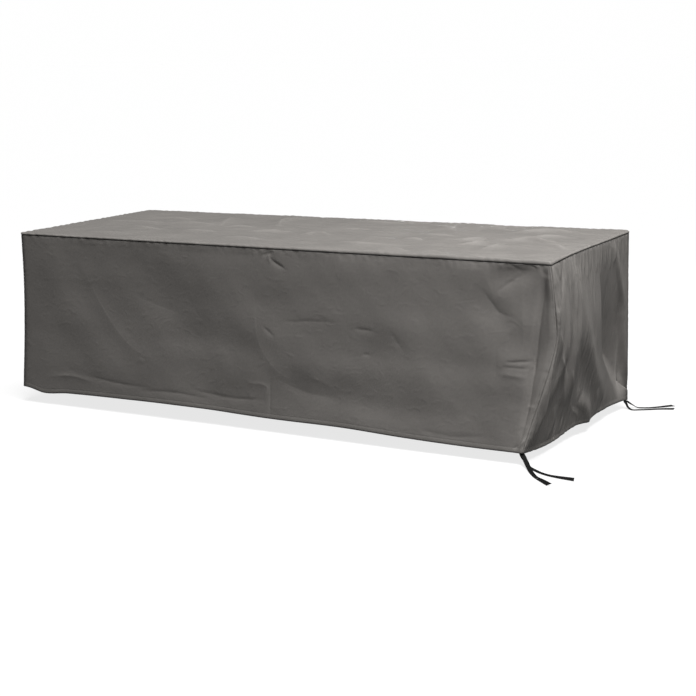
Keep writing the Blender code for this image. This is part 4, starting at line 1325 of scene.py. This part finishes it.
def right_end_forms(across, depth, from_top, from_side):
    """The great fold of the right end, and the short gathers under its seam."""
    gathers = []
    for top, low, length, half_width in RIGHT_GATHERS:
        depths = [fixed + share * length for fixed, share in GATHER_DEPTHS]
        line = tuple(zip((top, (top + low) / 2, low), depths))
        gathers.append((line, half_width, GATHER_HEIGHT, 0.0))
    gathered = fold_height(across, depth, gathers, sharp=True) * np.clip(from_top / GATHER_CALM, 0, 1)
    return end_forms(across, depth) * np.clip(np.minimum(from_top, from_side) / FOLD_CALM, 0, 1) + gathered


FRONT = Skirt(
    name="front_cloth", node="front_panel", corners=(0, 1), axis=0, bow=FRONT_BOW, seam=FRONT_SEAM,
    hem=FRONT_HEM, folds=FRONT_FOLDS, creases=FRONT_CREASES,
    spans=((-FLAT_LENGTH, -0.08, 130), (-0.08, 0.14, 50), (0.14, 0.93, 130), (0.93, FLAT_LENGTH, 80)),
    zones=(4, 18), rows=143, relief=FRONT_RELIEF, busy=FRONT_BUSY, seed=5,
    # painted shade 16 mm wide down the front left corner seam
    grooves=((0.8, 0.016), (0.15, 0.006)), flat=(0.715, 2.420), stretch=(1.0, 1.4, 1.0),
    offset=(3.1, 0.7, 0.0))
RIGHT_END = Skirt(
    name="right_end_cloth", node="right_end_panel", corners=(1, 2), axis=1, bow=RIGHT_BOW, seam=RIGHT_SEAM,
    hem=RIGHT_HEM, folds=RIGHT_FOLDS, creases=RIGHT_CREASES, spans=((-FLAT_WIDTH, FLAT_WIDTH, 236),),
    zones=(24, 12), rows=211, relief=RIGHT_RELIEF, busy=RIGHT_BUSY, runs_down=True, calm=0.02, seed=15,
    # painted shade 26 mm wide down the back right corner seam, where the corner's rounding turns away from
    # the light
    top_pucker=1.6, grooves=((0.15, 0.006), (0.8, 0.026)), flat=(0.720, 1.020), stretch=(1.6, 1.0, 1.0),
    offset=(7.3, 2.9, 0.0))
BACK = Skirt(
    name="back_cloth", node="back_panel", corners=(2, 3), axis=0, bow=BACK_BOW, seam=BACK_SEAM, hem=BACK_HEM,
    folds=BACK_FOLDS, creases=BACK_CREASES, spans=((-FLAT_LENGTH, FLAT_LENGTH, 250),), zones=(6, 6), rows=97,
    relief=BACK_RELIEF, seed=25, grooves=PLAIN_SEAM_SHADE, flat=(0.715, 2.430), stretch=(1.0, 1.4, 1.0),
    offset=(12.7, 1.9, 0.0))
LEFT_END = Skirt(
    name="left_end_cloth", node="left_end_panel", corners=(3, 0), axis=1, bow=LEFT_BOW, seam=LEFT_SEAM,
    hem=LEFT_HEM, folds=LEFT_FOLDS, creases=LEFT_CREASES, spans=((-FLAT_WIDTH, FLAT_WIDTH, 102),),
    zones=(6, 6), rows=81, relief=LEFT_RELIEF, runs_down=True, seed=35, grooves=PLAIN_SEAM_SHADE,
    flat=(0.710, 0.980), stretch=(1.6, 1.0, 1.0), offset=(17.2, 4.4, 0.0))


def build_skirt(context, skirt, forms=no_forms):
    """Hangs one side from the top's seam."""
    base = skirt.base()
    normals = grid_normals(base)
    lift = skirt.lift(base, context.scene.cover_sizes.pucker_height, forms)
    points = base + normals * lift[..., None]
    rubbed = rubbed_lines(points[..., skirt.axis], TOP_Z - points[..., 2], skirt.creases, RUBBED_WIDTH)
    from_edge = np.minimum.reduce(edge_distances(points))
    finish_panel(context, skirt.name, skirt.node, points, normals, True, from_edge, skirt.groove(points),
                 rubbed, stretch=skirt.stretch, offset=skirt.offset)


class COVER_OT_front(bpy.types.Operator):
    """Hangs the front panel with its storage creases"""

    bl_idname = "cover.front"
    bl_label = "Front panel"

    def execute(self, context):
        build_skirt(context, FRONT, front_belly)
        return {"FINISHED"}


class COVER_OT_right_end(bpy.types.Operator):
    """Hangs the folded right end panel with the gathers under its seam"""

    bl_idname = "cover.right_end"
    bl_label = "Right end panel"

    def execute(self, context):
        build_skirt(context, RIGHT_END, right_end_forms)
        return {"FINISHED"}


class COVER_OT_back(bpy.types.Operator):
    """Hangs the back panel"""

    bl_idname = "cover.back"
    bl_label = "Back panel"

    def execute(self, context):
        build_skirt(context, BACK)
        return {"FINISHED"}


class COVER_OT_left_end(bpy.types.Operator):
    """Hangs the left end panel"""

    bl_idname = "cover.left_end"
    bl_label = "Left end panel"

    def execute(self, context):
        build_skirt(context, LEFT_END)
        return {"FINISHED"}


class COVER_OT_top(bpy.types.Operator):
    """Lays the top panel, which rolls over the edge down to its seam"""

    bl_idname = "cover.top"
    bl_label = "Top panel"

    def execute(self, context):
        sizes = context.scene.cover_sizes
        base, normals, from_seam = top_base()
        x, y = base[..., 0], base[..., 1]
        edge = np.minimum(HALF_LENGTH - abs(x), HALF_WIDTH - abs(y))
        lift = fold_height(x, y, TOP_FOLDS) * np.clip((edge - CORNER_ZONE) / FOLD_CALM, 0, 1)
        lift += fold_height(x, y, TOP_CREASES, sharp=True) * np.clip(from_seam / TOP_CREASE_CALM, 0, 1)
        ripple = small_relief(x, y, TOP_RELIEF, TOP_BUSY) * sizes.top_ripple
        lift += ripple * np.clip(from_seam / TOP_RELIEF_CALM, 0, 1)
        lift += seam_pucker(x + y, from_seam, sizes.pucker_height * TOP_PUCKER, TOP_PUCKER_SEED)
        lift += bells(from_seam, TOP_SWELLINGS) + seam_shape(from_seam)
        points = base + normals * lift[..., None]
        # painted shade down in the top panel's seam
        groove = np.exp(-((from_seam / TOP_PANEL_SHADE) ** 2))
        rubbed = rubbed_lines(x, y, TOP_CREASES, RUBBED_TOP_WIDTH)
        finish_panel(context, "top_cloth", "top_panel", points, normals, False, from_seam, groove, rubbed,
                     stretch=(0.45, 1.6, 1.0), offset=(0.0, 0.0, 0.0))
        return {"FINISHED"}


def zone_marks(count):
    """For each line of the grid in one direction: how many lines it is outside the flat, and its place."""
    lines = ROLL_ROWS + len(EDGE_MARKS) - 1
    out = np.concatenate([np.arange(lines, 0, -1), np.zeros(count + 1, int), np.arange(1, lines + 1)])
    share = np.concatenate([np.zeros(lines), np.linspace(0, 1, count + 1), np.ones(lines)])
    return out, share


def top_rim(anchor_x, anchor_y, out_x, out_y):
    """Where each line of the grid reaches the cover's outline in plan, and how deep the seam lies there."""
    middle_x, middle_y = out_x.shape[0] // 2, out_x.shape[1] // 2
    side_x = np.where(np.arange(out_x.shape[0]) < middle_x, -1, 1)[:, None] * np.ones_like(out_x)
    side_y = np.where(np.arange(out_x.shape[1]) < middle_y, 1, -1)[None, :] * np.ones_like(out_y)
    rim_x = np.where(out_x > 0, side_x * HALF_LENGTH, anchor_x)
    rim_y = np.where(out_y > 0, side_y * HALF_WIDTH, anchor_y)
    both = (out_x > 0) & (out_y > 0)
    # bend is 0 where a corner meets its end and 1 where it meets the long side
    bend = np.where(out_x >= out_y, out_y / np.maximum(out_x, 1) / 2, 1 - out_x / np.maximum(out_y, 1) / 2)
    for number, (_, corner_x, corner_y) in enumerate(CORNERS):
        here = both & (side_x == corner_x) & (side_y == corner_y)
        turn = bend[here] if corner_x * corner_y > 0 else 1 - bend[here]
        rim = corner_place(number, np.zeros(turn.shape), turn)
        rim_x[here], rim_y[here] = rim[:, 0], rim[:, 1]
    long_side = np.where(rim_y < 0, smooth_table(FRONT_SEAM, rim_x), smooth_table(BACK_SEAM, rim_x))
    end_side = np.where(rim_x > 0, smooth_table(RIGHT_SEAM, rim_y), smooth_table(LEFT_SEAM, rim_y))
    return rim_x, rim_y, np.where(out_x > out_y, end_side, long_side)


def top_base():
    """The top panel without its folds, rolled over all four edges; also its distance from the seam."""
    out_x, share_x = zone_marks(TOP_SPAN_COLUMNS)
    out_y, share_y = zone_marks(TOP_SPAN_ROWS)
    flat_y = (1 - 2 * share_y) * FLAT_WIDTH  # rows run from the back to the front
    out_x, out_y = np.meshgrid(out_x, out_y, indexing="ij")
    anchor_x, anchor_y = np.meshgrid((2 * share_x - 1) * FLAT_LENGTH, flat_y, indexing="ij")
    outer = np.maximum(out_x, out_y)
    rim_x, rim_y, seam_depth = top_rim(anchor_x, anchor_y, out_x, out_y)
    flat = CORNER_ZONE - EDGE_ROLL
    arc = EDGE_ROLL * math.pi / 2
    whole = flat + arc + seam_depth - EDGE_ROLL
    edge_marks = np.array(EDGE_MARKS)[::-1]
    passed = np.where(
        outer <= ROLL_ROWS,
        outer / ROLL_ROWS * (whole - EDGE_MARKS[-1]),
        whole - edge_marks[np.clip(outer - ROLL_ROWS, 0, len(edge_marks) - 1)],
    )
    angle = np.clip((passed - flat) / EDGE_ROLL, 0, math.pi / 2)
    share = (np.minimum(passed, flat) + EDGE_ROLL * np.sin(angle)) / CORNER_ZONE
    drop = EDGE_ROLL * (1 - np.cos(angle)) + np.maximum(passed - flat - arc, 0)
    points = np.stack([
        anchor_x + (rim_x - anchor_x) * share, anchor_y + (rim_y - anchor_y) * share, TOP_Z - drop], axis=-1)
    inside = np.minimum(FLAT_LENGTH - abs(anchor_x), FLAT_WIDTH - abs(anchor_y))
    from_seam = np.where(outer > 0, whole - passed, whole + inside)
    return points, grid_normals(points), from_seam


# ---------------------------------------------------------------- add-on
class COVER_PT_panel(bpy.types.Panel):
    """Lists the steps that build the cover"""

    bl_idname = "COVER_PT_panel"
    bl_label = "Patio furniture cover"
    bl_space_type = "VIEW_3D"
    bl_region_type = "UI"
    bl_category = "Cover"

    def draw(self, context):
        for group in ("cover_sizes", "cover_look", "cover_studio"):
            settings = getattr(context.scene, group)
            for key in settings.__annotations__:
                self.layout.prop(settings, key)
        for operator in OPERATORS:
            self.layout.operator(operator.bl_idname)


OPERATORS = (COVER_OT_stage, COVER_OT_ties, COVER_OT_top, COVER_OT_front, COVER_OT_right_end,
             COVER_OT_back, COVER_OT_left_end)
SETTINGS = {"cover_sizes": CoverSizes, "cover_look": CoverLook, "cover_studio": StudioSettings}


def register():
    """Makes the settings, the operators and the sidebar's panel known."""
    for made in (*SETTINGS.values(), *OPERATORS, COVER_PT_panel):
        bpy.utils.register_class(made)
    for name, group in SETTINGS.items():
        setattr(bpy.types.Scene, name, bpy.props.PointerProperty(type=group))


def unregister():
    """Takes back what register made known."""
    for name in SETTINGS:
        delattr(bpy.types.Scene, name)
    for made in (COVER_PT_panel, *reversed(OPERATORS), *reversed(SETTINGS.values())):
        bpy.utils.unregister_class(made)


def main():
    """Builds the stage and all the pieces."""
    register()
    bpy.ops.cover.stage()
    bpy.ops.cover.ties()
    bpy.ops.cover.top()
    bpy.ops.cover.front()
    bpy.ops.cover.right_end()
    bpy.ops.cover.back()
    bpy.ops.cover.left_end()


if __name__ == "__main__":
    main()
